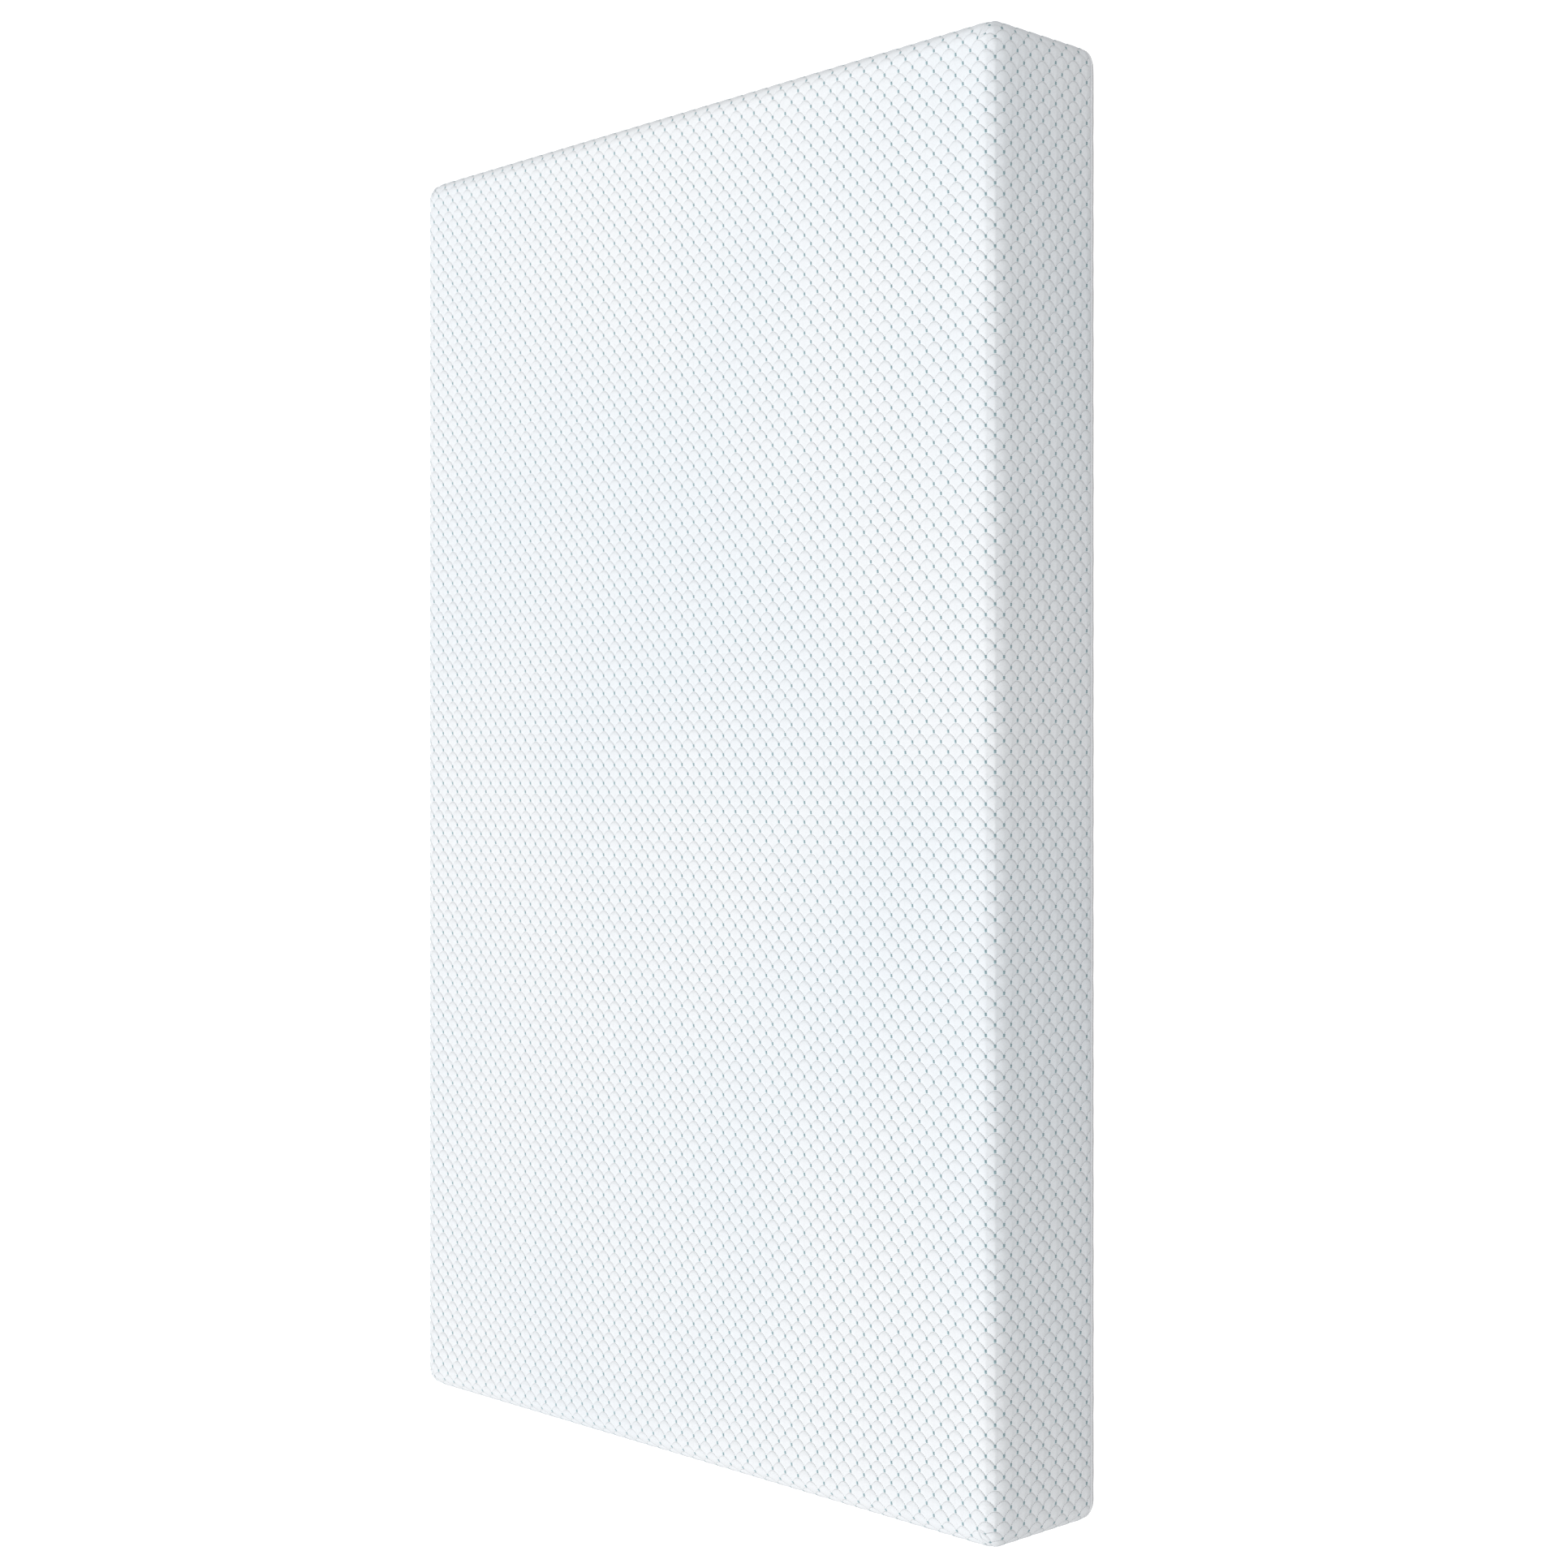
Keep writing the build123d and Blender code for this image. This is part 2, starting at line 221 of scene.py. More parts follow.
class Field:
    """A number in a node tree, which plain arithmetic turns into Math nodes."""

    def __init__(self, tree, socket):
        self.tree, self.socket = tree, socket

    def math(self, operation, *others):
        node = self.tree.nodes.new("ShaderNodeMath")
        node.operation = operation
        for place, value in enumerate((self, *others)):
            feed(self.tree, value, node.inputs[place])
        return Field(self.tree, node.outputs[0])

    def flipped(self, operation, other):
        node = self.tree.nodes.new("ShaderNodeMath")
        node.operation = operation
        feed(self.tree, other, node.inputs[0])
        feed(self.tree, self, node.inputs[1])
        return Field(self.tree, node.outputs[0])

    def __add__(self, other):
        return self.math("ADD", other)

    __radd__ = __add__

    def __sub__(self, other):
        return self.math("SUBTRACT", other)

    def __rsub__(self, other):
        return self.flipped("SUBTRACT", other)

    def __mul__(self, other):
        return self.math("MULTIPLY", other)

    __rmul__ = __mul__

    def __truediv__(self, other):
        return self.math("DIVIDE", other)

    def __pow__(self, other):
        return self.math("POWER", other)

    def __lt__(self, other):
        return self.math("LESS_THAN", other)

    def __gt__(self, other):
        return self.math("GREATER_THAN", other)

    def __abs__(self):
        return self.math("ABSOLUTE")

    def sin(self):
        return self.math("SINE")

    def cos(self):
        return self.math("COSINE")

    def fract(self):
        return self.math("FRACT")

    def off_whole(self):
        """Signed distance to the nearest whole number."""
        return self - self.math("ROUND")

    def least(self, other):
        return self.math("MINIMUM", other)

    def most(self, other):
        return self.math("MAXIMUM", other)

    def ramp(self, low, high, to_low=0.0, to_high=1.0):
        """Smooth step from to_low at low to to_high at high."""
        node = self.tree.nodes.new("ShaderNodeMapRange")
        node.interpolation_type = "SMOOTHSTEP"
        for name, value in (("Value", self), ("From Min", low), ("From Max", high),
                            ("To Min", to_low), ("To Max", to_high)):
            feed(self.tree, value, node.inputs[name])
        return Field(self.tree, node.outputs[0])

    def mix(self, other, share):
        """This number where share is 0 and the other where it is 1."""
        return self + (other - self) * share


def feed(tree, value, socket):
    """Links a field, or sets a plain value."""
    if isinstance(value, Field):
        tree.links.new(value.socket, socket)
    elif hasattr(value, "is_output"):
        tree.links.new(value, socket)
    else:
        socket.default_value = value


def add_node(tree, kind, settings=(), **values):
    """A node with its settings, and values or links for its inputs by name."""
    node = tree.nodes.new(kind)
    for name, value in dict(settings).items():
        setattr(node, name, value)
    for name, value in values.items():
        feed(tree, value, node.inputs[name.replace("_", " ")])
    return node


def new_group(name, kind, inputs, outputs):
    """A node group with its sockets: (name, socket type, default)."""
    tree = bpy.data.node_groups.new(name, kind)
    for label, socket, default in inputs:
        made = tree.interface.new_socket(name=label, in_out="INPUT", socket_type=socket)
        if default is not None:
            made.default_value = default
    for label, socket in outputs:
        tree.interface.new_socket(name=label, in_out="OUTPUT", socket_type=socket)
    return tree, tree.nodes.new("NodeGroupInput"), tree.nodes.new("NodeGroupOutput")


def scale_lattice(x, y, cell_x, cell_y, rise):
    """Where a point of the fabric lies in the fish-scale lattice, whose dots are at whole cells.

    Returns its share of the way up its scale, the scale's height here and the distance from the seam
    below, both in cell lengths."""
    across, along = x / cell_x, y / cell_y
    even_arc = abs((across * pi).sin()) ** ARC_POWER
    odd_arc = abs((across * pi).cos()) ** ARC_POWER
    over_even = (along - even_arc * rise).fract()
    over_odd = (along - 0.5 - odd_arc * rise).fract()
    is_even = over_even < over_odd
    below = over_odd.mix(over_even, is_even)
    tall = (odd_arc - even_arc) * rise * (is_even * 2 - 1) + 0.5
    return below / tall, tall, below


# ---------------------------------------------------------------- mesh helpers

def new_object(name, mesh):
    made = bpy.data.objects.new(name, mesh)
    bpy.context.scene.collection.objects.link(made)
    return made


def mesh_from_arrays(name, points, faces, uv=None):
    """A mesh from an array of points and a list of faces; uv holds one pair for each face corner."""
    sizes = np.array([len(face) for face in faces], dtype=np.int32)
    corners = np.fromiter((i for face in faces for i in face), dtype=np.int32, count=int(sizes.sum()))
    return fill_mesh(name, np.asarray(points, dtype=np.float32), sizes, corners, uv)


def fill_mesh(name, points, sizes, corners, uv=None):
    mesh = bpy.data.meshes.new(name)
    mesh.vertices.add(len(points))
    mesh.vertices.foreach_set("co", np.asarray(points, dtype=np.float32).ravel())
    mesh.loops.add(len(corners))
    mesh.loops.foreach_set("vertex_index", corners)
    mesh.polygons.add(len(sizes))
    starts = np.concatenate(([0], np.cumsum(sizes)[:-1])).astype(np.int32)
    mesh.polygons.foreach_set("loop_start", starts)
    if uv is not None:
        layer = mesh.uv_layers.new(name="Fabric")
        layer.data.foreach_set("uv", np.asarray(uv, dtype=np.float32).ravel())
    mesh.update(calc_edges=True)
    mesh.validate()
    mesh.shade_smooth()
    return mesh


def finished(source, name, body, material=None):
    """The evaluated source as a plain mesh piece that rides on a body; the source is removed."""
    graph = bpy.context.evaluated_depsgraph_get()
    mesh = bpy.data.meshes.new_from_object(source.evaluated_get(graph), depsgraph=graph)
    bpy.data.objects.remove(source)
    mesh.name = name
    piece = new_object(name, mesh)
    material = material or next(filled for filled in mesh.materials if filled)
    mesh.materials.clear()
    mesh.materials.append(material)
    mesh.polygons.foreach_set("material_index", np.zeros(len(mesh.polygons), dtype=np.int32))
    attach(piece, body)
    return piece


def run_tree(source, tree, **values):
    """Puts a geometry node tree on an object, with its named inputs set."""
    modifier = source.modifiers.new(tree.name, "NODES")
    modifier.node_group = tree
    for item in tree.interface.items_tree:
        if item.item_type == "SOCKET" and item.in_out == "INPUT":
            key = item.name.replace(" ", "_").lower()
            if key in values:
                modifier[item.identifier] = values[key]
    return modifier


def finish_tree(tree, geometry, start, end):
    """The last nodes of every geometry tree: real geometry, shaded smooth, in its material."""
    solid = add_node(tree, "GeometryNodeRealizeInstances", Geometry=geometry)
    rounded = add_node(tree, "GeometryNodeSetShadeSmooth", Geometry=solid.outputs["Geometry"])
    painted = add_node(tree, "GeometryNodeSetMaterial", Geometry=rounded.outputs["Geometry"],
                       Material=start.outputs["Material"])
    tree.links.new(painted.outputs["Geometry"], end.inputs["Geometry"])


def smooth(share):
    """Smooth step of an array from 0 to 1."""
    share = np.clip(share, 0, 1)
    return share * share * (3 - 2 * share)


# ---------------------------------------------------------------- the cover's surface

def down_the_side(drop, radius=EDGE_R):
    """Reach outwards, height, and the normal's outward and upward parts, at an arc length past the flat
    top."""
    turn = np.clip(drop / EDGE_R, 0, pi / 2)
    fall = np.clip(drop - ARC, 0, WALL)
    under = np.clip((drop - ARC - WALL) / EDGE_R, 0, None)
    out = np.where(under > 0, np.cos(under), np.sin(turn))
    up = np.where(under > 0, -np.sin(under), np.cos(turn))
    reach = radius * out
    height = TOP - EDGE_R + radius * up - fall
    return reach, height, out, up


def snapped_columns(low, high, step, phase, lines):
    """Column places at a step, with the nearest ones moved onto the lines and the borders."""
    first = int(np.ceil((low - phase) / step + 0.3))
    last = int(np.floor((high - phase) / step - 0.3))
    places = phase + step * np.arange(first, last + 1)
    for line in lines:
        places[np.argmin(abs(places - line))] = line
    return np.concatenate(([low], places, [high]))


def scale_rows(columns, low, high, lines, settings):
    """Row places for each column. Rows follow the scales' seams, except beside the lines, where they
    straighten onto them."""
    cell_x, cell_y, rows = settings.cell_width, settings.cell_length, settings.rows
    arc = settings.rise * cell_y
    angle = pi * (columns - settings.dot_x) / cell_x
    arcs = (arc * abs(np.sin(angle)) ** ARC_POWER, arc * abs(np.cos(angle)) ** ARC_POWER)
    first = int(np.floor((low - settings.dot_y) / (cell_y / 2))) - 2
    last = int(np.ceil((high - settings.dot_y) / (cell_y / 2))) + 2
    seams = [settings.dot_y + j * cell_y / 2 + arcs[j % 2] for j in range(first, last + 1)]
    shares = np.arange(rows)[:, None] / rows
    shares = shares - 0.07 * np.sin(2 * pi * shares) + 0.045 * (1 - np.cos(2 * pi * shares))
    places = np.concatenate([a + (b - a) * shares for a, b in zip(seams, seams[1:])])
    middle = places.mean(axis=1)
    keep = np.flatnonzero((middle > low) & (middle < high))
    places = places[keep[0]:keep[-1] + 1]
    middle = places.mean(axis=1)
    fade = 4 * rows
    index = {}
    shifts = []
    for line in (low, *lines, high):
        row = int(np.argmin(abs(middle - line)))
        index[line] = row
        shifts.append((row, line - places[row]))
    distance = np.arange(len(places))[:, None]
    moved = places.copy()
    total = np.zeros((len(places), 1))
    pull = np.zeros_like(places)
    for row, shift in shifts:
        weight = np.clip(1 - abs(distance - row) / fade, 0, 1)
        pull += weight * shift[None, :]
        total += weight
    moved += pull / np.maximum(total, 1)
    for row, shift in shifts:
        moved[row] = places[row] + shift
    return moved, index


class CoverGrid:
    """The cover's fabric as a grid that follows its scales, wrapped over the rounded edges.

    The side walls' fabric runs on round each upright corner, and meets the short ends' fabric there in a
    mitred seam."""

    PINCH = 0.0014
    SEAM_SPREAD = 0.006
    CORNER_EASE = 0.012

    def __init__(self, settings):
        self.settings = settings
        self.corner_end = CORE_Y + EDGE_R * MITRE
        side = CORE_X + RIM_DROP
        end = CORE_Y + RIM_DROP
        step = settings.cell_width / settings.columns
        self.s = snapped_columns(-side, side, step, settings.dot_x, (-CORE_X, CORE_X))
        lines = (-self.corner_end, -CORE_Y, CORE_Y, self.corner_end)
        rows, index = scale_rows(self.s, -end, end, lines, settings)
        self.y = rows
        self.left = int(np.flatnonzero(self.s == -CORE_X)[0])
        self.right = int(np.flatnonzero(self.s == CORE_X)[0])
        self.row_of = index
        self.across = np.broadcast_to(self.s, rows.shape).copy()
        self.make_room_for_zip()

    def make_room_for_zip(self):
        """Draws the fabric's lower border on the zip's side up to the edge of the slot."""
        start = CORE_X + RIM_DROP - 0.018
        squeeze = (CORE_X + SLOT_DROP - start) / 0.018
        inside = smooth((SLOT_END - abs(self.y)) / 0.004)
        beyond = np.clip(-self.across - start, 0, None)
        self.across += beyond * (1 - squeeze) * inside

    def place(self, s, y, on_end):
        """Points, normals, relief share and pinch for fabric places."""
        side_drop = np.clip(abs(s) - CORE_X, 0, None)
        end_drop = np.clip(abs(y) - CORE_Y, 0, None)
        drop = np.where(on_end, end_drop, side_drop)
        reach, height, out, up = down_the_side(drop)
        # the end's fabric runs a little way round the corner too, to meet the side's at the mitre
        share = smooth((abs(s) - CORE_X + self.CORNER_EASE) / self.CORNER_EASE) * np.ones_like(drop)
        wide = abs(s) + share * reach * (pi / 2 - MITRE)
        lean = np.clip((wide - CORE_X) / np.maximum(reach, 1e-6), 0, pi / 2 - MITRE)
        turn = np.where(on_end, pi / 2 - lean, np.minimum(end_drop / EDGE_R, MITRE * 0.998))
        sx, sy = np.sign(s), np.sign(y)
        way_x, way_y = sx * np.cos(turn), sy * np.sin(turn)
        base_x = sx * np.minimum(np.where(on_end, wide, abs(s)), CORE_X)
        base_y = np.clip(y, -CORE_Y, CORE_Y)
        points = np.stack((base_x + way_x * reach, base_y + way_y * reach, height), axis=-1)
        normals = np.stack((way_x * out, way_y * out, up), axis=-1)
        in_corner = (abs(s) > CORE_X) & (abs(y) > CORE_Y)
        seam_gap = np.where(on_end, CORE_X - abs(s), np.where(in_corner, self.corner_end - abs(y), 1.0))
        seam_gap = np.where(end_drop > 0, seam_gap, 1.0)
        pole = np.hypot(CORE_X - abs(s), CORE_Y - abs(y))
        near_pole = np.where(in_corner, side_drop, pole)
        relief = smooth(seam_gap / self.SEAM_SPREAD) * smooth(near_pole / 0.012)
        fade_in = smooth(end_drop / 0.02) * smooth(drop / 0.01)
        pinch = self.PINCH * (1 - smooth(seam_gap / self.SEAM_SPREAD)) * fade_in
        rim_gap = np.where(on_end, RIM_DROP - end_drop, RIM_DROP - side_drop)
        slot_gap = np.where((s < 0) & (abs(y) < SLOT_END), SLOT_DROP - side_drop, 1.0)
        border = 1 - smooth(np.minimum(rim_gap, slot_gap) / 0.005)
        relief = relief * (1 - 0.8 * border)
        # the fabric is drawn tighter where it turns over the ends
        over_edge = smooth(end_drop / (0.7 * ARC)) * (1 - smooth((end_drop - ARC) / 0.02))
        relief = relief * (1 - 0.6 * over_edge)
        pinch = np.maximum(pinch, 0.0010 * border)
        return points, normals, relief, pinch

    def build(self):
        rows, cols = self.y.shape
        low, high = self.row_of[-CORE_Y], self.row_of[CORE_Y]
        corner_low, corner_high = self.row_of[-self.corner_end], self.row_of[self.corner_end]
        r, k = np.meshgrid(np.arange(rows), np.arange(cols), indexing="ij")
        in_span = (r >= low) & (r <= high)
        in_middle = (k >= self.left) & (k <= self.right)
        main = in_span | in_middle
        corner = ~main & (r >= corner_low) & (r <= corner_high)
        ids = np.full((rows, cols), -1)
        ids[main] = np.arange(main.sum())
        ids[corner] = main.sum() + np.arange(corner.sum())
        order = [np.flatnonzero(main.ravel()), np.flatnonzero(corner.ravel())]
        flat_s, flat_y = self.across.ravel(), self.y.ravel()
        on_end = (in_middle & ~in_span).ravel()
        parts = [self.place(flat_s[o], flat_y[o], on_end[o]) for o in order]
        self.points, self.normals, self.relief, self.pinch = (np.concatenate(x) for x in zip(*parts))
        self.fabric = np.concatenate([np.stack((flat_s[o], flat_y[o]), axis=1) for o in order])
        # one quad for each grid square whose four corners are in use
        a, b = ids[:-1, :-1], ids[:-1, 1:]
        d, c = ids[1:, :-1], ids[1:, 1:]
        quads = np.stack((a, b, c, d), axis=-1)
        square_r, square_k = r[:-1, :-1], k[:-1, :-1]
        end_square = ((square_r < low) | (square_r >= high))
        mid_square = (square_k >= self.left) & (square_k < self.right)
        corner_square = end_square & ~mid_square
        in_reach = (square_r >= corner_low) & (square_r < corner_high)
        use = ~corner_square | in_reach
        uv_r = np.stack((square_r, square_r, square_r + 1, square_r + 1), axis=-1)
        uv_k = np.stack((square_k, square_k + 1, square_k + 1, square_k), axis=-1)
        # in the corner patches, the inner column shrinks to the pole
        for side_k in (self.left, self.right):
            for pole_r, beyond in ((low, uv_r < low), (high, uv_r > high)):
                hit = corner_square[..., None] & (uv_k == side_k) & beyond
                quads[hit] = ids[pole_r, side_k]
        quads, uv_r, uv_k = quads[use], uv_r[use], uv_k[use]
        uv = np.stack((self.across[uv_r, uv_k], self.y[uv_r, uv_k]), axis=-1)
        self.ids = ids
        faces, coords = self.without_repeats(quads, uv)
        extra = self.mitre_strips(low, high, corner_low, corner_high)
        lining, ring_points = self.lining(corner_low, corner_high)
        return self.to_mesh(faces, coords, extra + lining, ring_points)

    @staticmethod
    def without_repeats(quads, uv):
        """Quads with two corners on one point become triangles."""
        same = quads == np.roll(quads, -1, axis=1)
        squares = ~same.any(axis=1)
        faces = [quads[squares]]
        coords = [uv[squares]]
        triangles, places = [], []
        for quad, place, repeat in zip(quads[~squares], uv[~squares], same[~squares]):
            kept = [i for i in range(4) if not repeat[i]]
            if len(kept) == 3:
                triangles.append(quad[kept])
                places.append(place[kept])
        faces.append(np.array(triangles).reshape(-1, 3))
        coords.append(np.array(places).reshape(-1, 3, 2))
        return faces, coords

    def mitre_strips(self, low, high, corner_low, corner_high):
        """Triangles that close the mitred seam at each upright corner."""
        made = []
        for pole_r, edge_r, step in ((low, corner_low, -1), (high, corner_high, 1)):
            last = 0 if step < 0 else self.y.shape[0] - 1
            for pole_k, k_step in ((self.left, -1), (self.right, 1)):
                last_k = 0 if k_step < 0 else self.y.shape[1] - 1
                side = [(edge_r, k) for k in range(pole_k + k_step, last_k + k_step, k_step)]
                end = [(row, pole_k) for row in range(pole_r + step, last + step, step)]
                side_drop = [abs(self.across[rk]) - CORE_X for rk in side]
                end_drop = [abs(self.y[rk]) - CORE_Y for rk in end]
                i, j, pole = 0, 0, self.ids[pole_r, pole_k]
                strip = [(pole, self.ids[side[0]], self.ids[end[0]])]
                while i < len(side) - 1 or j < len(end) - 1:
                    end_done, side_left = j == len(end) - 1, i < len(side) - 1
                    take_side = end_done or (side_left and side_drop[i + 1] < end_drop[j + 1])
                    if take_side:
                        strip.append((self.ids[side[i]], self.ids[side[i + 1]], self.ids[end[j]]))
                        i += 1
                    else:
                        strip.append((self.ids[side[i]], self.ids[end[j + 1]], self.ids[end[j]]))
                        j += 1
                if step * k_step < 0:
                    strip = [face[::-1] for face in strip]
                made += strip
        return made

    def rim_loop(self, corner_low, corner_high):
        """The fabric's lower border as one loop of grid places, anticlockwise seen from above."""
        rows, cols = self.y.shape
        right_side = [(row, cols - 1) for row in range(corner_low, corner_high + 1)]
        far_end = [(rows - 1, k) for k in range(self.right, self.left - 1, -1)]
        left_side = [(row, 0) for row in range(corner_high, corner_low - 1, -1)]
        near_end = [(0, k) for k in range(self.left, self.right + 1)]
        return right_side + far_end + left_side + near_end

    def lining(self, corner_low, corner_high):
        """Closes the shell with an inner wall and an inner ceiling, in a few plain rings."""
        loop = self.rim_loop(corner_low, corner_high)
        rim = np.array([self.ids[place] for place in loop])
        points, normals = self.points[rim], self.normals[rim]
        base = np.clip(points[:, :2], [-CORE_X, -CORE_Y], [CORE_X, CORE_Y])
        way = normals[:, :2] / np.linalg.norm(normals[:, :2], axis=1)[:, None]
        inner = EDGE_R - COVER_THICK
        rings = [points - normals * (COVER_THICK - 0.0004)]
        heights = ((inner, EDGE_R * 1.5), (inner, TOP - EDGE_R),
                   (inner * 0.7, TOP - COVER_THICK - inner * 0.3))
        for reach, height in heights:
            ring = np.column_stack((base + way * reach, np.full(len(rim), height)))
            rings.append(ring)
        rings.append(np.column_stack((base, np.full(len(rim), TOP - COVER_THICK))))
        count, start = len(rim), len(self.points)
        ids = [rim] + [start + i * count + np.arange(count) for i in range(len(rings))]
        faces = []
        for outer_ring, inner_ring in zip(ids, ids[1:]):
            after_outer, after_inner = np.roll(outer_ring, -1), np.roll(inner_ring, -1)
            quads = np.stack((outer_ring, inner_ring, after_inner, after_outer), axis=1)
            faces += [tuple(face) for face in quads]
        faces.append(tuple(ids[-1][::-1]))
        return faces, np.concatenate(rings)

    def to_mesh(self, faces, coords, extra, ring_points):
        points = np.concatenate((self.points, ring_points))
        sizes = [np.full(len(group), group.shape[1]) for group in faces]
        corners = [group.ravel() for group in faces]
        uv = [group.reshape(-1, 2) for group in coords]
        fabric = np.concatenate((self.fabric, ring_points[:, :2]))
        for face in extra:
            corners.append(np.array(face))
            uv.append(fabric[list(face)])
        sizes.append(np.array([len(face) for face in extra]))
        origin = np.array([self.settings.dot_x, self.settings.dot_y])
        mesh = fill_mesh("cover_sheet", points, np.concatenate(sizes).astype(np.int32),
                         np.concatenate(corners).astype(np.int32), np.concatenate(uv) - origin)
        plain = len(ring_points)
        self.store(mesh, "fabric", "FLOAT_VECTOR",
                   np.column_stack((fabric - origin, np.zeros(len(fabric)))))
        self.store(mesh, "outwards", "FLOAT_VECTOR", np.concatenate((self.normals, np.zeros((plain, 3)))))
        self.store(mesh, "relief", "FLOAT", np.concatenate((self.relief, np.zeros(plain))))
        self.store(mesh, "pinch", "FLOAT", np.concatenate((self.pinch, np.zeros(plain))))
        return mesh

    @staticmethod
    def store(mesh, name, kind, values):
        layer = mesh.attributes.new(name, kind, "POINT")
        key = "vector" if kind == "FLOAT_VECTOR" else "value"
        layer.data.foreach_set(key, np.asarray(values, dtype=np.float32).ravel())


def puff_tree():
    """Geometry nodes that swell the fish-scale puffs out of the fabric."""
    tree, start, end = new_group(
        "Fish Scale Puffs", "GeometryNodeTree",
        [("Geometry", "NodeSocketGeometry", None), ("Cell Width", "NodeSocketFloat", 0.0246),
         ("Cell Length", "NodeSocketFloat", 0.026), ("Rise", "NodeSocketFloat", 0.38),
         ("Puff", "NodeSocketFloat", 0.0021), ("Fullness", "NodeSocketFloat", 1.8),
         ("Steepness", "NodeSocketFloat", 4.0),
         ("Stand Proud", "NodeSocketFloat", 0.0005), ("Unevenness", "NodeSocketFloat", 0.12),
         ("Material", "NodeSocketMaterial", None)],
        [("Geometry", "NodeSocketGeometry")])

    def named(name, kind="FLOAT"):
        node = add_node(tree, "GeometryNodeInputNamedAttribute", {"data_type": kind}, Name=name)
        return node.outputs["Attribute"]

    def given(name):
        return Field(tree, start.outputs[name])

    place = named("fabric", "FLOAT_VECTOR")
    parts = add_node(tree, "ShaderNodeSeparateXYZ", Vector=place)
    x, y = Field(tree, parts.outputs["X"]), Field(tree, parts.outputs["Y"])
    share, tall, _ = scale_lattice(x, y, given("Cell Width"), given("Cell Length"), given("Rise"))
    share = share.most(0.0).least(1.0)
    rising = 1 - (1 - share) ** given("Fullness")
    falling = 1 - share ** given("Steepness")
    dome = rising * falling * 1.26 * ((tall / 0.88) ** 0.75)
    noise = add_node(tree, "ShaderNodeTexNoise", Vector=place, Scale=23.0, Detail=1.0)
    uneven = (Field(tree, noise.outputs[0]) - 0.5) * given("Unevenness") * 2 + 1
    swell = (dome * uneven).mix(0.55, 1 - Field(tree, named("relief")))
    height = (swell - 1) * given("Puff") + given("Stand Proud") - Field(tree, named("pinch"))
    offset = add_node(tree, "ShaderNodeVectorMath", {"operation": "SCALE"},
                      Vector=named("outwards", "FLOAT_VECTOR"), Scale=height)
    moved = add_node(tree, "GeometryNodeSetPosition", Geometry=start.outputs["Geometry"],
                     Offset=offset.outputs["Vector"])
    finish_tree(tree, moved.outputs["Geometry"], start, end)
    return tree


# ---------------------------------------------------------------- swept and sewn pieces

def outline(spacing):
    """Points round the core's outline, anticlockwise from above: base, outward way and length so far."""
    corners = ((CORE_X, -CORE_Y), (CORE_X, CORE_Y), (-CORE_X, CORE_Y), (-CORE_X, -CORE_Y))
    base, turn, along = [], [], []
    run = 0.0
    for side, corner in enumerate(corners):
        after = corners[(side + 1) % 4]
        length = hypot(after[0] - corner[0], after[1] - corner[1])
        for share in np.arange(0, 1, 1 / round(length / spacing)):
            base.append((corner[0] + (after[0] - corner[0]) * share,
                         corner[1] + (after[1] - corner[1]) * share))
            turn.append(side * pi / 2)
            along.append(run + share * length)
        run += length
        for share in np.arange(0, 1, 1 / max(8, round(ARC / spacing))):
            base.append(after)
            turn.append((side + share) * pi / 2)
            along.append(run + share * ARC)
        run += ARC
    way = np.column_stack((np.cos(turn), np.sin(turn)))
    return np.array(base), way, np.array(along)


def on_wall(base, way, drop, inset=0.0):
    """Points and outward normals on the cover's surface, or inside it by an inset."""
    reach, height, out, up = down_the_side(drop, EDGE_R - inset)
    points = np.concatenate((base + way * np.expand_dims(reach, -1), np.expand_dims(height, -1)), axis=-1)
    normals = np.concatenate((way * np.expand_dims(out, -1), np.expand_dims(up, -1)), axis=-1)
    return points, normals


def zip_point(up, out, along):
    """A point given in the zip's own plane: up the wall, outwards and along the length."""
    x = -CORE_X - EDGE_R * cos(SEAM_ANGLE) - up * sin(SEAM_ANGLE) - out * cos(SEAM_ANGLE)
    z = EDGE_R - EDGE_R * sin(SEAM_ANGLE) + up * cos(SEAM_ANGLE) - out * sin(SEAM_ANGLE)
    return np.stack(np.broadcast_arrays(x, along, z), axis=-1)


ZIP_UP = np.array((-sin(SEAM_ANGLE), 0, cos(SEAM_ANGLE)))
ZIP_OUT = np.array((-cos(SEAM_ANGLE), 0, -sin(SEAM_ANGLE)))
ZIP_ALONG = np.array((0, 1.0, 0))


def sweep(name, stations, across, closed):
    """A closed skin through stations x profile x 3, with its UV as metres along and round the profile."""
    count, size = stations.shape[:2]
    points = stations.reshape(-1, 3)
    ids = np.arange(count * size).reshape(count, size)
    faces, uv = [], []
    step = np.linalg.norm(np.diff(stations.mean(axis=1), axis=0, append=stations[:1].mean(axis=1)), axis=1)
    run = np.concatenate(([0], np.cumsum(step)))
    for i in range(count if closed else count - 1):
        j = (i + 1) % count
        for k in range(size):
            m = (k + 1) % size
            faces.append((ids[i, k], ids[j, k], ids[j, m], ids[i, m]))
            uv += [(run[i], across[k]), (run[i + 1], across[k]),
                   (run[i + 1], across[k + 1]), (run[i], across[k + 1])]
    if not closed:
        for cap in (ids[0], ids[-1][::-1]):
            faces.append(tuple(cap))
            uv += [(0.0, 0.0)] * size
    return mesh_from_arrays(name, points, faces, uv)


def outwards_again(mesh):
    """Merges doubles and turns every face of a closed skin outwards."""
    work = bmesh.new()
    work.from_mesh(mesh)
    bmesh.ops.remove_doubles(work, verts=work.verts, dist=1e-7)
    bmesh.ops.recalc_face_normals(work, faces=work.faces)
    work.to_mesh(mesh)
    work.free()
    return mesh


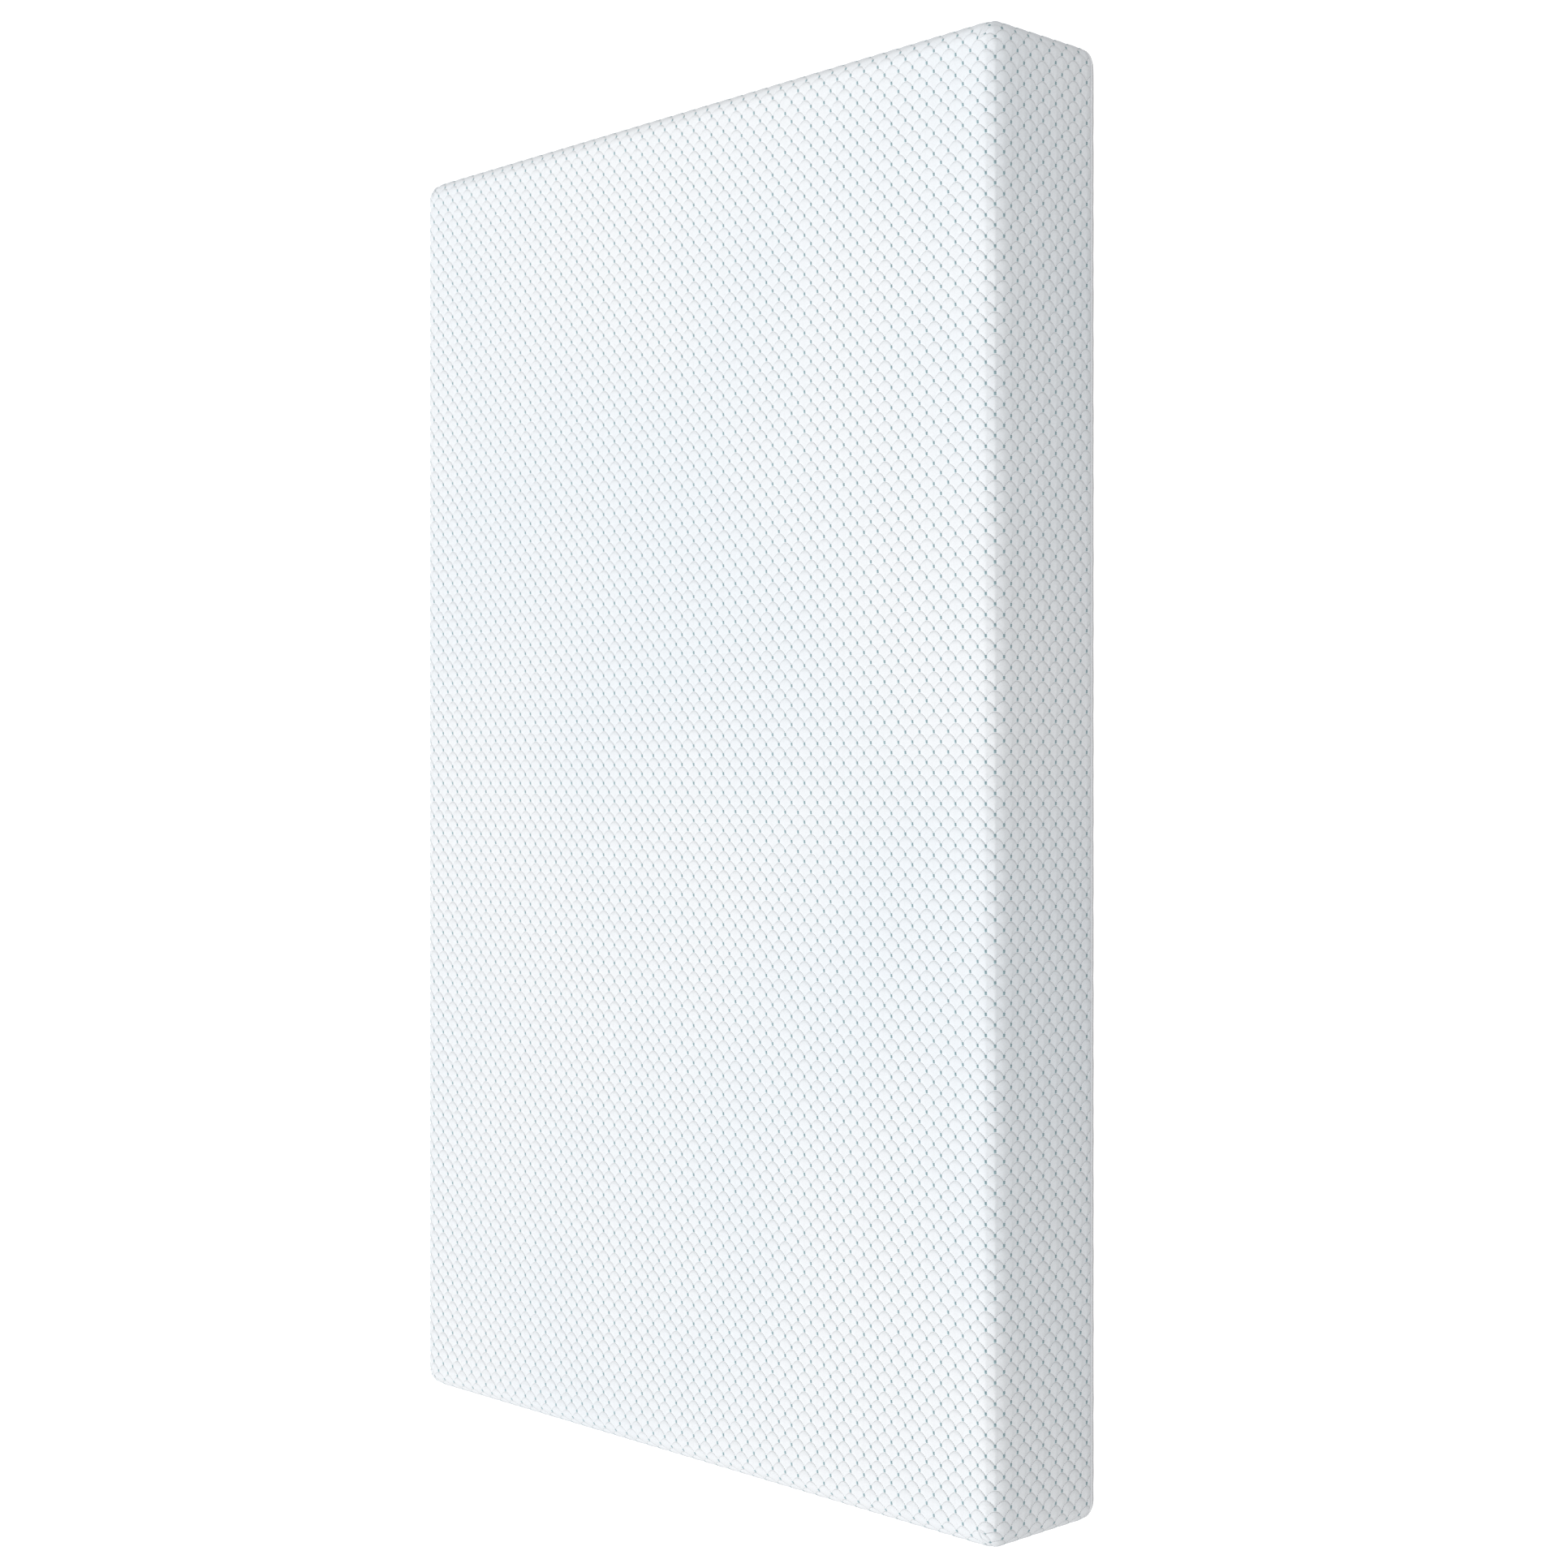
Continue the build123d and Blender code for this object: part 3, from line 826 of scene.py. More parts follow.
def thread_tree():
    """Geometry nodes that lay one stitch of thread on each point, along its row."""
    tree, start, end = new_group(
        "Thread Stitches", "GeometryNodeTree",
        [("Geometry", "NodeSocketGeometry", None), ("Stitch Length", "NodeSocketFloat", 0.003),
         ("Thread Width", "NodeSocketFloat", 0.0005), ("Sway", "NodeSocketFloat", 0.08),
         ("Seed", "NodeSocketInt", 3), ("Material", "NodeSocketMaterial", None)],
        [("Geometry", "NodeSocketGeometry")])
    along = add_node(tree, "GeometryNodeInputNamedAttribute", {"data_type": "FLOAT_VECTOR"}, Name="along")
    out = add_node(tree, "GeometryNodeInputNamedAttribute", {"data_type": "FLOAT_VECTOR"}, Name="outwards")
    turn = add_node(tree, "FunctionNodeAxesToRotation", {"primary_axis": "Z", "secondary_axis": "X"})
    tree.links.new(out.outputs["Attribute"], turn.inputs[0])
    tree.links.new(along.outputs["Attribute"], turn.inputs[1])
    bead = add_node(tree, "GeometryNodeMeshUVSphere", Segments=5, Rings=4, Radius=1.0)
    half_long = Field(tree, start.outputs["Stitch Length"]) * 0.5
    half_wide = Field(tree, start.outputs["Thread Width"]) * 0.5
    size = add_node(tree, "ShaderNodeCombineXYZ", X=half_long, Y=half_wide, Z=half_wide)
    stitch = add_node(tree, "GeometryNodeTransform", Geometry=bead.outputs["Mesh"],
                      Scale=size.outputs["Vector"])
    sway = Field(tree, start.outputs["Sway"])
    low = add_node(tree, "ShaderNodeCombineXYZ", Z=0 - sway)
    high = add_node(tree, "ShaderNodeCombineXYZ", Z=sway)
    chance = add_node(tree, "FunctionNodeRandomValue", {"data_type": "FLOAT_VECTOR"})
    tree.links.new(low.outputs["Vector"], chance.inputs["Min"])
    tree.links.new(high.outputs["Vector"], chance.inputs["Max"])
    tree.links.new(start.outputs["Seed"], chance.inputs["Seed"])
    laid = add_node(tree, "GeometryNodeInstanceOnPoints", Points=start.outputs["Geometry"],
                    Instance=stitch.outputs["Geometry"], Rotation=turn.outputs["Rotation"])
    swayed = add_node(tree, "GeometryNodeRotateInstances", Instances=laid.outputs["Instances"])
    tree.links.new(chance.outputs["Value"], swayed.inputs["Rotation"])
    finish_tree(tree, swayed.outputs["Instances"], start, end)
    return tree


def sew(name, rows, stitch, thread, replaces=()):
    """Stitches on rows of (points, ways along, ways out), as one piece of thread on the mattress."""
    points, along, out = (np.concatenate([np.broadcast_to(row[i], row[0].shape) for row in rows])
                          for i in range(3))
    mesh = bpy.data.meshes.new(name)
    mesh.from_pydata(points.tolist(), [], [])
    CoverGrid.store(mesh, "along", "FLOAT_VECTOR", along)
    CoverGrid.store(mesh, "outwards", "FLOAT_VECTOR", out)
    source = new_object(name + "_points", mesh)
    tree = bpy.data.node_groups.get("Thread Stitches") or thread_tree()
    run_tree(source, tree, stitch_length=stitch, thread_width=thread, material=finish("sewing_thread"))
    piece = finished(source, name, "mattress")
    if replaces:
        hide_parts(*replaces)
    return piece


def coil_tree():
    """Geometry nodes that wind one row of a zip's coil from a single filament."""
    tree, start, end = new_group(
        "Zip Coil", "GeometryNodeTree",
        [("Geometry", "NodeSocketGeometry", None), ("Length", "NodeSocketFloat", 1.7),
         ("Pitch", "NodeSocketFloat", 0.0016), ("Coil Width", "NodeSocketFloat", 0.0026),
         ("Coil Depth", "NodeSocketFloat", 0.0014), ("Filament", "NodeSocketFloat", 0.0006),
         ("Material", "NodeSocketMaterial", None)],
        [("Geometry", "NodeSocketGeometry")])

    def given(name):
        return Field(tree, start.outputs[name])

    turns = given("Length") / given("Pitch")
    helix = add_node(tree, "GeometryNodeCurveSpiral", Resolution=8, Rotations=turns, Height=given("Length"))
    helix.inputs["Start Radius"].default_value = 0.5
    helix.inputs["End Radius"].default_value = 0.5
    size = add_node(tree, "ShaderNodeCombineXYZ", X=given("Coil Width") - given("Filament"),
                    Y=given("Coil Depth") - given("Filament"), Z=1.0)
    flat = add_node(tree, "GeometryNodeTransform", Geometry=helix.outputs["Curve"],
                    Scale=size.outputs["Vector"])
    section = add_node(tree, "GeometryNodeCurvePrimitiveCircle", Resolution=5, Radius=given("Filament") * 0.5)
    wire = tree.nodes.new("GeometryNodeCurveToMesh")
    tree.links.new(flat.outputs["Geometry"], wire.inputs["Curve"])
    tree.links.new(section.outputs["Curve"], wire.inputs["Profile Curve"])
    wire.inputs["Fill Caps"].default_value = True
    finish_tree(tree, wire.outputs["Mesh"], start, end)
    return tree


def zip_matrix(up, out, along):
    """Takes a row wound along z, with x across it, to its place in the zip."""
    origin = zip_point(up, out, along)
    columns = (ZIP_UP, ZIP_OUT, ZIP_ALONG)
    turn = Matrix([[column[row] for column in columns] for row in range(3)]).to_4x4()
    return Matrix.Translation(Vector(origin)) @ turn


def padded_block(name, low, high, edge, crown, cuts):
    """A cushioned block in the zip's plane, with rounded edges and a slight crown."""
    work = bmesh.new()
    bmesh.ops.create_cube(work, size=1.0)
    bmesh.ops.subdivide_edges(work, edges=work.edges, cuts=cuts, use_grid_fill=True)
    low, high = np.array(low), np.array(high)
    middle, half = (low + high) / 2, (high - low) / 2
    for vert in work.verts:
        place = np.array(vert.co) * 2
        inner = np.clip(place * half, edge - half, half - edge)
        way = place * half - inner
        length = np.linalg.norm(way)
        if length > 0:
            way = way / length * edge
        point = middle + inner + way
        point[1] += np.sign(place[1]) * crown * (1 - place[0] ** 2) * (1 - place[2] ** 2)
        vert.co = Vector(zip_point(*point))
    mesh = bpy.data.meshes.new(name)
    bmesh.ops.recalc_face_normals(work, faces=work.faces)
    if work.calc_volume(signed=True) < 0:
        bmesh.ops.reverse_faces(work, faces=work.faces)
    work.to_mesh(mesh)
    work.free()
    mesh.shade_smooth()
    return mesh


# ---------------------------------------------------------------- materials

def lattice_group():
    """Shader group: place of a fabric point in the fish-scale lattice."""
    tree, start, end = new_group(
        "Fish Scale Lattice", "ShaderNodeTree",
        [("Fabric", "NodeSocketVector", None), ("Cell Width", "NodeSocketFloat", 0.0246),
         ("Cell Length", "NodeSocketFloat", 0.026), ("Rise", "NodeSocketFloat", 0.38)],
        [("Seam Distance", "NodeSocketFloat"), ("Dot Across", "NodeSocketFloat"),
         ("Dot Along", "NodeSocketFloat"), ("Up Scale", "NodeSocketFloat")])
    parts = add_node(tree, "ShaderNodeSeparateXYZ", Vector=start.outputs["Fabric"])
    x, y = Field(tree, parts.outputs["X"]), Field(tree, parts.outputs["Y"])
    cell_x, cell_y = Field(tree, start.outputs["Cell Width"]), Field(tree, start.outputs["Cell Length"])
    share, tall, below = scale_lattice(x, y, cell_x, cell_y, Field(tree, start.outputs["Rise"]))
    across, along = x / cell_x, y / cell_y
    even_x, even_y = across.off_whole(), along.off_whole()
    odd_x, odd_y = (across - 0.5).off_whole(), (along - 0.5).off_whole()
    odd = (abs(odd_x) + abs(odd_y)) < (abs(even_x) + abs(even_y))
    outputs = {
        "Seam Distance": below.least(tall - below) * cell_y,
        "Dot Across": even_x.mix(odd_x, odd) * cell_x,
        "Dot Along": even_y.mix(odd_y, odd) * cell_y,
        "Up Scale": share,
    }
    for name, value in outputs.items():
        feed(tree, value, end.inputs[name])
    return tree


def knit_group():
    """Shader group: columns of knit stitches, as a height and a soft light and dark fleck."""
    tree, start, end = new_group(
        "Knit Stitches", "ShaderNodeTree",
        [("Fabric", "NodeSocketVector", None), ("Stitch", "NodeSocketFloat", 0.00105)],
        [("Height", "NodeSocketFloat"), ("Fleck", "NodeSocketFloat")])
    parts = add_node(tree, "ShaderNodeSeparateXYZ", Vector=start.outputs["Fabric"])
    stitch = Field(tree, start.outputs["Stitch"])
    x, y = Field(tree, parts.outputs["X"]) / stitch, Field(tree, parts.outputs["Y"]) / stitch
    lean = abs(x.off_whole())
    column = (x * pi).cos().math("ABSOLUTE")
    course = ((y + lean) * 2 * pi).sin() * 0.5 + 0.5
    feed(tree, column * (course * 0.6 + 0.4), end.inputs["Height"])
    noise = add_node(tree, "ShaderNodeTexNoise", Vector=start.outputs["Fabric"], Scale=420.0, Detail=2.0)
    feed(tree, Field(tree, noise.outputs[0]), end.inputs["Fleck"])
    return tree


def shared_group(name, maker):
    return bpy.data.node_groups.get(name) or maker()


def place_group(tree, group, **values):
    node = tree.nodes.new("ShaderNodeGroup")
    node.node_tree = group
    for name, value in values.items():
        feed(tree, value, node.inputs[name.replace("_", " ")])
    return node


def new_material(name, roughness, sheen=0.0, metallic=0.0):
    """A material with its Principled shader, and the nodes' tree."""
    material = bpy.data.materials.new(name)
    material.use_nodes = True
    tree = material.node_tree
    shader = tree.nodes["Principled BSDF"]
    shader.inputs["Roughness"].default_value = roughness
    shader.inputs["Metallic"].default_value = metallic
    shader.inputs["Sheen Weight"].default_value = sheen
    shader.inputs["Sheen Roughness"].default_value = 0.5
    return material, tree, shader


def colour_mix(tree, share, first, second):
    node = add_node(tree, "ShaderNodeMix", {"data_type": "RGBA"})
    feed(tree, share, node.inputs["Factor"])
    for value, socket in ((first, node.inputs[6]), (second, node.inputs[7])):
        if hasattr(value, "is_output"):
            tree.links.new(value, socket)
        else:
            socket.default_value = (*value, 1.0)
    return node.outputs[2]


def bump(tree, shader, height, distance, strength=1.0):
    node = add_node(tree, "ShaderNodeBump", Height=height, Distance=distance, Strength=strength)
    tree.links.new(node.outputs["Normal"], shader.inputs["Normal"])
    return node


def cover_material(settings):
    """White knitted jacquard with teal stitch dots and pricked seams."""
    material, tree, shader = new_material("knitted_cover", 0.86, sheen=0.12)
    uv = add_node(tree, "ShaderNodeUVMap", {"uv_map": "Fabric"}).outputs["UV"]
    cell = place_group(tree, shared_group("Fish Scale Lattice", lattice_group), Fabric=uv,
                       Cell_Width=settings.cell_width, Cell_Length=settings.cell_length,
                       Rise=settings.rise)
    knit = place_group(tree, shared_group("Knit Stitches", knit_group), Fabric=uv, Stitch=settings.wale)
    stitch, fleck = Field(tree, knit.outputs["Height"]), Field(tree, knit.outputs["Fleck"])
    dx, dy = Field(tree, cell.outputs["Dot Across"]), Field(tree, cell.outputs["Dot Along"])
    seam = Field(tree, cell.outputs["Seam Distance"])
    parts = add_node(tree, "ShaderNodeSeparateXYZ", Vector=uv)
    x, y = Field(tree, parts.outputs["X"]), Field(tree, parts.outputs["Y"])
    # teal dot: pale stitches crossed by two dark broken columns
    half_x, half_y = settings.cell_width * 0.076, settings.cell_length * 0.086
    dot_across = abs(dx).ramp(half_x * 0.82, half_x * 1.05, 1.0, 0.0)
    dot_along = abs(dy).ramp(half_y * 0.85, half_y * 1.08, 1.0, 0.0)
    dot = dot_across * dot_along
    rung = ((y / settings.wale) * 2 * pi).sin() * 0.5 + 0.5
    middle = abs(dx).ramp(half_x * 0.16, half_x * 0.34, 1.0, 0.0)
    right = abs(dx - half_x * 0.72).ramp(half_x * 0.10, half_x * 0.26, 1.0, 0.0)
    dark = middle.most(right) * (rung * 0.55 + 0.45)
    dot_colour = colour_mix(tree, rung * 0.5, tuple(settings.dot_light), tuple(settings.dot_mid))
    dot_colour = colour_mix(tree, dark, dot_colour, tuple(settings.dot_dark))
    # pricked seams
    prick_step = settings.cell_width / 12
    along_seam = abs((x / prick_step).off_whole())
    prick = seam.ramp(0.00025, 0.0006, 1.0, 0.0) * along_seam.ramp(0.16, 0.3, 1.0, 0.0)
    # painted shade: the fabric is darker along the seam valleys, where shade falls between the puffs
    seam_painted_shade = seam.ramp(0.0, 0.0011, 1.0, 0.0)
    shade = tuple(settings.yarn)
    cloudy = add_node(tree, "ShaderNodeTexNoise", Vector=uv, Scale=1.7, Detail=2.0)
    cool = tuple(c * f for c, f in zip(settings.yarn, (0.965, 0.985, 1.0)))
    yarn = colour_mix(tree, Field(tree, cloudy.outputs[0]).ramp(0.35, 0.65), shade, cool)
    dull = tuple(c * 0.90 for c in settings.yarn)
    yarn = colour_mix(tree, fleck.ramp(0.35, 0.75) * 0.5, yarn, dull)
    # painted shade between the knit stitches: darker where the stitch height is low
    knitted = colour_mix(tree, (1 - stitch) * 0.16, yarn, tuple(c * 0.7 for c in settings.yarn))
    knitted = colour_mix(tree, seam_painted_shade * 0.15, knitted, tuple(c * 0.62 for c in settings.yarn))
    knitted = colour_mix(tree, prick * 0.6, knitted, (0.20, 0.21, 0.22))
    final = colour_mix(tree, dot, knitted, dot_colour)
    tree.links.new(final, shader.inputs["Base Color"])
    bump(tree, shader, stitch * 0.35 - prick * 0.8 + dot * rung * 0.4, 0.0006, 0.55)
    return material


def weave_group():
    """Shader group: plain weave of warp and weft threads, as a height and which thread is on top."""
    tree, start, end = new_group(
        "Plain Weave", "ShaderNodeTree",
        [("Fabric", "NodeSocketVector", None), ("Thread", "NodeSocketFloat", 0.0006)],
        [("Height", "NodeSocketFloat"), ("Warp", "NodeSocketFloat"), ("Slub", "NodeSocketFloat")])
    parts = add_node(tree, "ShaderNodeSeparateXYZ", Vector=start.outputs["Fabric"])
    thread = Field(tree, start.outputs["Thread"])
    x, y = Field(tree, parts.outputs["X"]) / thread, Field(tree, parts.outputs["Y"]) / thread
    warp = ((x.math("FLOOR") + y.math("FLOOR")) * 0.5).fract() > 0.25
    round_x, round_y = abs((x * pi).sin()), abs((y * pi).sin())
    weft_height, warp_height = round_y * (round_x * 0.4 + 0.6), round_x * (round_y * 0.4 + 0.6)
    feed(tree, weft_height.mix(warp_height, warp), end.inputs["Height"])
    feed(tree, warp, end.inputs["Warp"])
    noise = add_node(tree, "ShaderNodeTexNoise", Vector=start.outputs["Fabric"], Scale=260.0, Detail=3.0)
    feed(tree, Field(tree, noise.outputs[0]), end.inputs["Slub"])
    return tree


def rib_group():
    """Shader group: ribs across a ribbon, which may lean to and fro as herringbone."""
    tree, start, end = new_group(
        "Ribbon Ribs", "ShaderNodeTree",
        [("Ribbon", "NodeSocketVector", None), ("Rib", "NodeSocketFloat", 0.0008),
         ("Lean", "NodeSocketFloat", 0.0), ("Stripe", "NodeSocketFloat", 0.004)],
        [("Height", "NodeSocketFloat"), ("Fleck", "NodeSocketFloat")])
    parts = add_node(tree, "ShaderNodeSeparateXYZ", Vector=start.outputs["Ribbon"])
    along, across = Field(tree, parts.outputs["X"]), Field(tree, parts.outputs["Y"])
    stripe = Field(tree, start.outputs["Stripe"])
    zigzag = abs((across / stripe).off_whole()) * stripe
    place = (along + zigzag * Field(tree, start.outputs["Lean"])) / Field(tree, start.outputs["Rib"])
    feed(tree, abs((place * pi).sin()), end.inputs["Height"])
    noise = add_node(tree, "ShaderNodeTexNoise", Vector=start.outputs["Ribbon"], Scale=500.0, Detail=2.0)
    feed(tree, Field(tree, noise.outputs[0]), end.inputs["Fleck"])
    return tree


def tinted(colour, share):
    return tuple(min(1.0, part * share) for part in colour)


def object_place(tree):
    return add_node(tree, "ShaderNodeTexCoord").outputs["Object"]


def uv_place(tree):
    return add_node(tree, "ShaderNodeUVMap", {"uv_map": "Fabric"}).outputs["UV"]


def woven_material(name, colour, thread, from_uv=True):
    """Melange woven cloth."""
    material, tree, shader = new_material(name, 0.9, sheen=0.1)
    place = uv_place(tree) if from_uv else object_place(tree)
    weave = place_group(tree, shared_group("Plain Weave", weave_group), Fabric=place, Thread=thread)
    height, warp, slub = (Field(tree, weave.outputs[name]) for name in ("Height", "Warp", "Slub"))
    yarn = colour_mix(tree, warp, tinted(colour, 1.08), tinted(colour, 0.90))
    yarn = colour_mix(tree, slub.ramp(0.4, 0.7) * 0.5, yarn, tinted(colour, 0.74))
    # painted shade between the threads: darker where the weave is low
    yarn = colour_mix(tree, (1 - height) * 0.45, yarn, tinted(colour, 0.45))
    tree.links.new(yarn, shader.inputs["Base Color"])
    bump(tree, shader, height + slub * 0.3, 0.0003, 0.6)
    return material


def ribbon_material(name, colour, rib, lean=0.0, stripe=0.004, roughness=0.8, from_uv=True):
    """Ribbed ribbon or herringbone tape."""
    material, tree, shader = new_material(name, roughness, sheen=0.1)
    place = uv_place(tree) if from_uv else object_place(tree)
    ribs = place_group(tree, shared_group("Ribbon Ribs", rib_group), Ribbon=place, Rib=rib, Lean=lean,
                       Stripe=stripe)
    height, fleck = Field(tree, ribs.outputs["Height"]), Field(tree, ribs.outputs["Fleck"])
    yarn = colour_mix(tree, fleck.ramp(0.35, 0.7), tinted(colour, 1.05), tinted(colour, 0.86))
    # painted shade in the troughs between the ribs: darker where the rib height is low
    yarn = colour_mix(tree, (1 - height) * 0.5, yarn, tinted(colour, 0.55))
    tree.links.new(yarn, shader.inputs["Base Color"])
    feed(tree, fleck * 0.2 + (roughness - 0.1), shader.inputs["Roughness"])
    bump(tree, shader, height, rib * 0.35, 0.7)
    return material


def speckled_material(name, colour, grain, depth, roughness, metallic=0.0, contrast=0.2, stretch=1.0):
    """Thread, filament, metal or foam: a fine grain in colour, roughness and height."""
    material, tree, shader = new_material(name, roughness, metallic=metallic)
    mapping = add_node(tree, "ShaderNodeMapping", Vector=object_place(tree))
    mapping.inputs["Scale"].default_value = (1.0, stretch, 1.0)
    fine = add_node(tree, "ShaderNodeTexNoise", Vector=mapping.outputs["Vector"], Scale=1 / grain, Detail=4.0)
    broad = add_node(tree, "ShaderNodeTexNoise", Vector=object_place(tree), Scale=0.12 / grain, Detail=2.0)
    grit, cloud = Field(tree, fine.outputs[0]), Field(tree, broad.outputs[0])
    paint = colour_mix(tree, grit.ramp(0.35, 0.65) * contrast, tinted(colour, 1.0), tinted(colour, 0.55))
    paint = colour_mix(tree, cloud.ramp(0.3, 0.7) * contrast * 0.6, paint, tinted(colour, 0.8))
    tree.links.new(paint, shader.inputs["Base Color"])
    feed(tree, (grit - 0.5) * 0.25 + roughness, shader.inputs["Roughness"])
    bump(tree, shader, grit, depth, 0.5)
    return material


def foam_material(name, colour, cell):
    """Open cells cut through by the saw, on foam of one colour."""
    material, tree, shader = new_material(name, 0.95)
    cells = add_node(tree, "ShaderNodeTexVoronoi", {"feature": "DISTANCE_TO_EDGE"}, Vector=object_place(tree),
                     Scale=1 / cell)
    cloud = add_node(tree, "ShaderNodeTexNoise", Vector=object_place(tree), Scale=9.0, Detail=3.0)
    wall = Field(tree, cells.outputs["Distance"]).ramp(0.0, 0.22)
    # painted shade in the open cells' hollows: darker away from the cell walls, where the bump is low
    paint = colour_mix(tree, wall * 0.35, tinted(colour, 1.03), tinted(colour, 0.78))
    paint = colour_mix(tree, Field(tree, cloud.outputs[0]).ramp(0.35, 0.7) * 0.3, paint, tinted(colour, 0.92))
    tree.links.new(paint, shader.inputs["Base Color"])
    bump(tree, shader, 1 - wall, cell * 0.4, 0.6)
    return material


def sock_material():
    """Fine tubular knit."""
    material, tree, shader = new_material("barrier_knit", 0.9, sheen=0.1)
    knit = place_group(tree, shared_group("Knit Stitches", knit_group), Fabric=object_place(tree),
                       Stitch=SOCK_STITCH)
    height, fleck = Field(tree, knit.outputs["Height"]), Field(tree, knit.outputs["Fleck"])
    yarn = colour_mix(tree, fleck.ramp(0.35, 0.7), (0.83, 0.81, 0.75), (0.76, 0.74, 0.69))
    # painted shade between the knit stitches: darker where the stitch height is low
    yarn = colour_mix(tree, (1 - height) * 0.4, yarn, (0.52, 0.50, 0.46))
    tree.links.new(yarn, shader.inputs["Base Color"])
    bump(tree, shader, height, 0.0005, 0.6)
    return material


FINISHES = {
    "base_fabric": lambda scene: woven_material(
        "base_fabric", scene.mattress_base.fabric, scene.mattress_base.weave),
    "binding_ribbon": lambda scene: ribbon_material(
        "binding_ribbon", scene.mattress_base.ribbon, scene.mattress_base.rib),
    "patch_ribbon": lambda scene: woven_material(
        "patch_ribbon", scene.mattress_base.ribbon, 0.0006, from_uv=False),
    "label_ribbon": lambda scene: ribbon_material(
        "label_ribbon", scene.mattress_base.label, 0.0003, roughness=0.45),
    "zip_tape": lambda scene: ribbon_material(
        "zip_tape", scene.mattress_zip.tape, 0.0006, lean=1.0, stripe=0.003),
    "sewing_thread": lambda scene: speckled_material(
        "sewing_thread", scene.mattress_sewing.thread, 0.0003, 0.0001, 0.7),
    "zip_coil": lambda scene: speckled_material(
        "zip_coil", scene.mattress_zip.coil, 0.0008, 0.00005, 0.35, contrast=0.12),
    "zip_metal": lambda scene: speckled_material(
        "zip_metal", scene.mattress_zip.metal, 0.0002, 0.00002, 0.24, metallic=1.0, contrast=0.25,
        stretch=6.0),
    "barrier_knit": lambda scene: sock_material(),
    "support_foam": lambda scene: foam_material("support_foam", (0.86, 0.83, 0.74), 0.0011),
    "transition_foam": lambda scene: foam_material("transition_foam", (0.52, 0.68, 0.75), 0.0010),
    "memory_foam": lambda scene: foam_material("memory_foam", (0.90, 0.86, 0.70), 0.0006),
}


def finish(name):
    """The named finish, made once."""
    return bpy.data.materials.get(name) or FINISHES[name](bpy.context.scene)


# ---------------------------------------------------------------- operators

class MATTRESS_OT_stage(bpy.types.Operator):
    """Pale floor, soft light and the camera"""
    bl_idname = "mattress.stage"
    bl_label = "Stage"

    def execute(self, context):
        settings = context.scene.mattress_stage
        scene = context.scene
        scene.view_settings.view_transform = "Standard"
        self.floor(settings)
        self.lights(settings, scene)
        self.camera(settings, scene)
        return {"FINISHED"}

    @staticmethod
    def floor(settings):
        reach = 30.0
        corners = [(-reach, -reach, 0), (reach, -reach, 0), (reach, reach, 0), (-reach, reach, 0)]
        floor = new_object("floor", mesh_from_arrays("floor", corners, [(0, 1, 2, 3)]))
        material, tree, shader = new_material("pale_floor", 0.9)
        shader.inputs["Base Color"].default_value = (0.36, 0.36, 0.36, 1)
        shader.inputs["Emission Color"].default_value = (1, 1, 1, 1)
        seen = Field(tree, tree.nodes.new("ShaderNodeLightPath").outputs["Is Camera Ray"])
        glow = seen * (settings.floor - settings.bounce) + settings.bounce
        feed(tree, glow, shader.inputs["Emission Strength"])
        floor.data.materials.append(material)

    @staticmethod
    def lights(settings, scene):
        world = bpy.data.worlds.new("studio")
        scene.world = world
        world.use_nodes = True
        tree = world.node_tree
        back = tree.nodes["Background"]
        back.inputs["Color"].default_value = (1, 1, 1, 1)
        seen = Field(tree, tree.nodes.new("ShaderNodeLightPath").outputs["Is Camera Ray"])
        feed(tree, seen * (1 - settings.sky) + settings.sky, back.inputs["Strength"])
        lamps = (("key", settings.key, KEY_SPREAD, KEY_WAY), ("fill", settings.fill, FILL_SPREAD, FILL_WAY))
        for name, strength, spread, way in lamps:
            lamp = bpy.data.lights.new(name, "SUN")
            lamp.energy = strength
            lamp.angle = radians(spread)
            made = bpy.data.objects.new(name, lamp)
            scene.collection.objects.link(made)
            made.rotation_mode = "QUATERNION"
            made.rotation_quaternion = Vector(way).to_track_quat("Z", "Y")

    @staticmethod
    def camera(settings, scene):
        length = 2 * HALF_Y
        place = Vector((HALF_X + settings.out * length, 0, TOP + settings.over * length))
        lens = bpy.data.cameras.new("camera")
        lens.lens = settings.lens
        lens.sensor_width = 36
        lens.clip_end = 200
        camera = bpy.data.objects.new("camera", lens)
        scene.collection.objects.link(camera)
        back = Vector((cos(settings.tilt), 0, sin(settings.tilt)))
        up = Vector((0, 1, 0))
        turn = Matrix((up.cross(back), up, back)).transposed()
        camera.matrix_world = Matrix.Translation(place) @ turn.to_4x4()
        scene.camera = camera


class MATTRESS_OT_cover(bpy.types.Operator):
    """Knitted cover with its fish-scale puffs"""
    bl_idname = "mattress.cover"
    bl_label = "Knitted cover"

    def execute(self, context):
        settings = context.scene.mattress_cover
        sheet = new_object("cover_sheet", CoverGrid(settings).build())
        run_tree(sheet, puff_tree(), cell_width=settings.cell_width, cell_length=settings.cell_length,
                 rise=settings.rise, puff=settings.puff, fullness=settings.fullness,
                 steepness=settings.steepness,
                 material=cover_material(settings))
        cover = finished(sheet, "cover_knit", "mattress")
        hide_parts("cover_top")
        return {"FINISHED"}


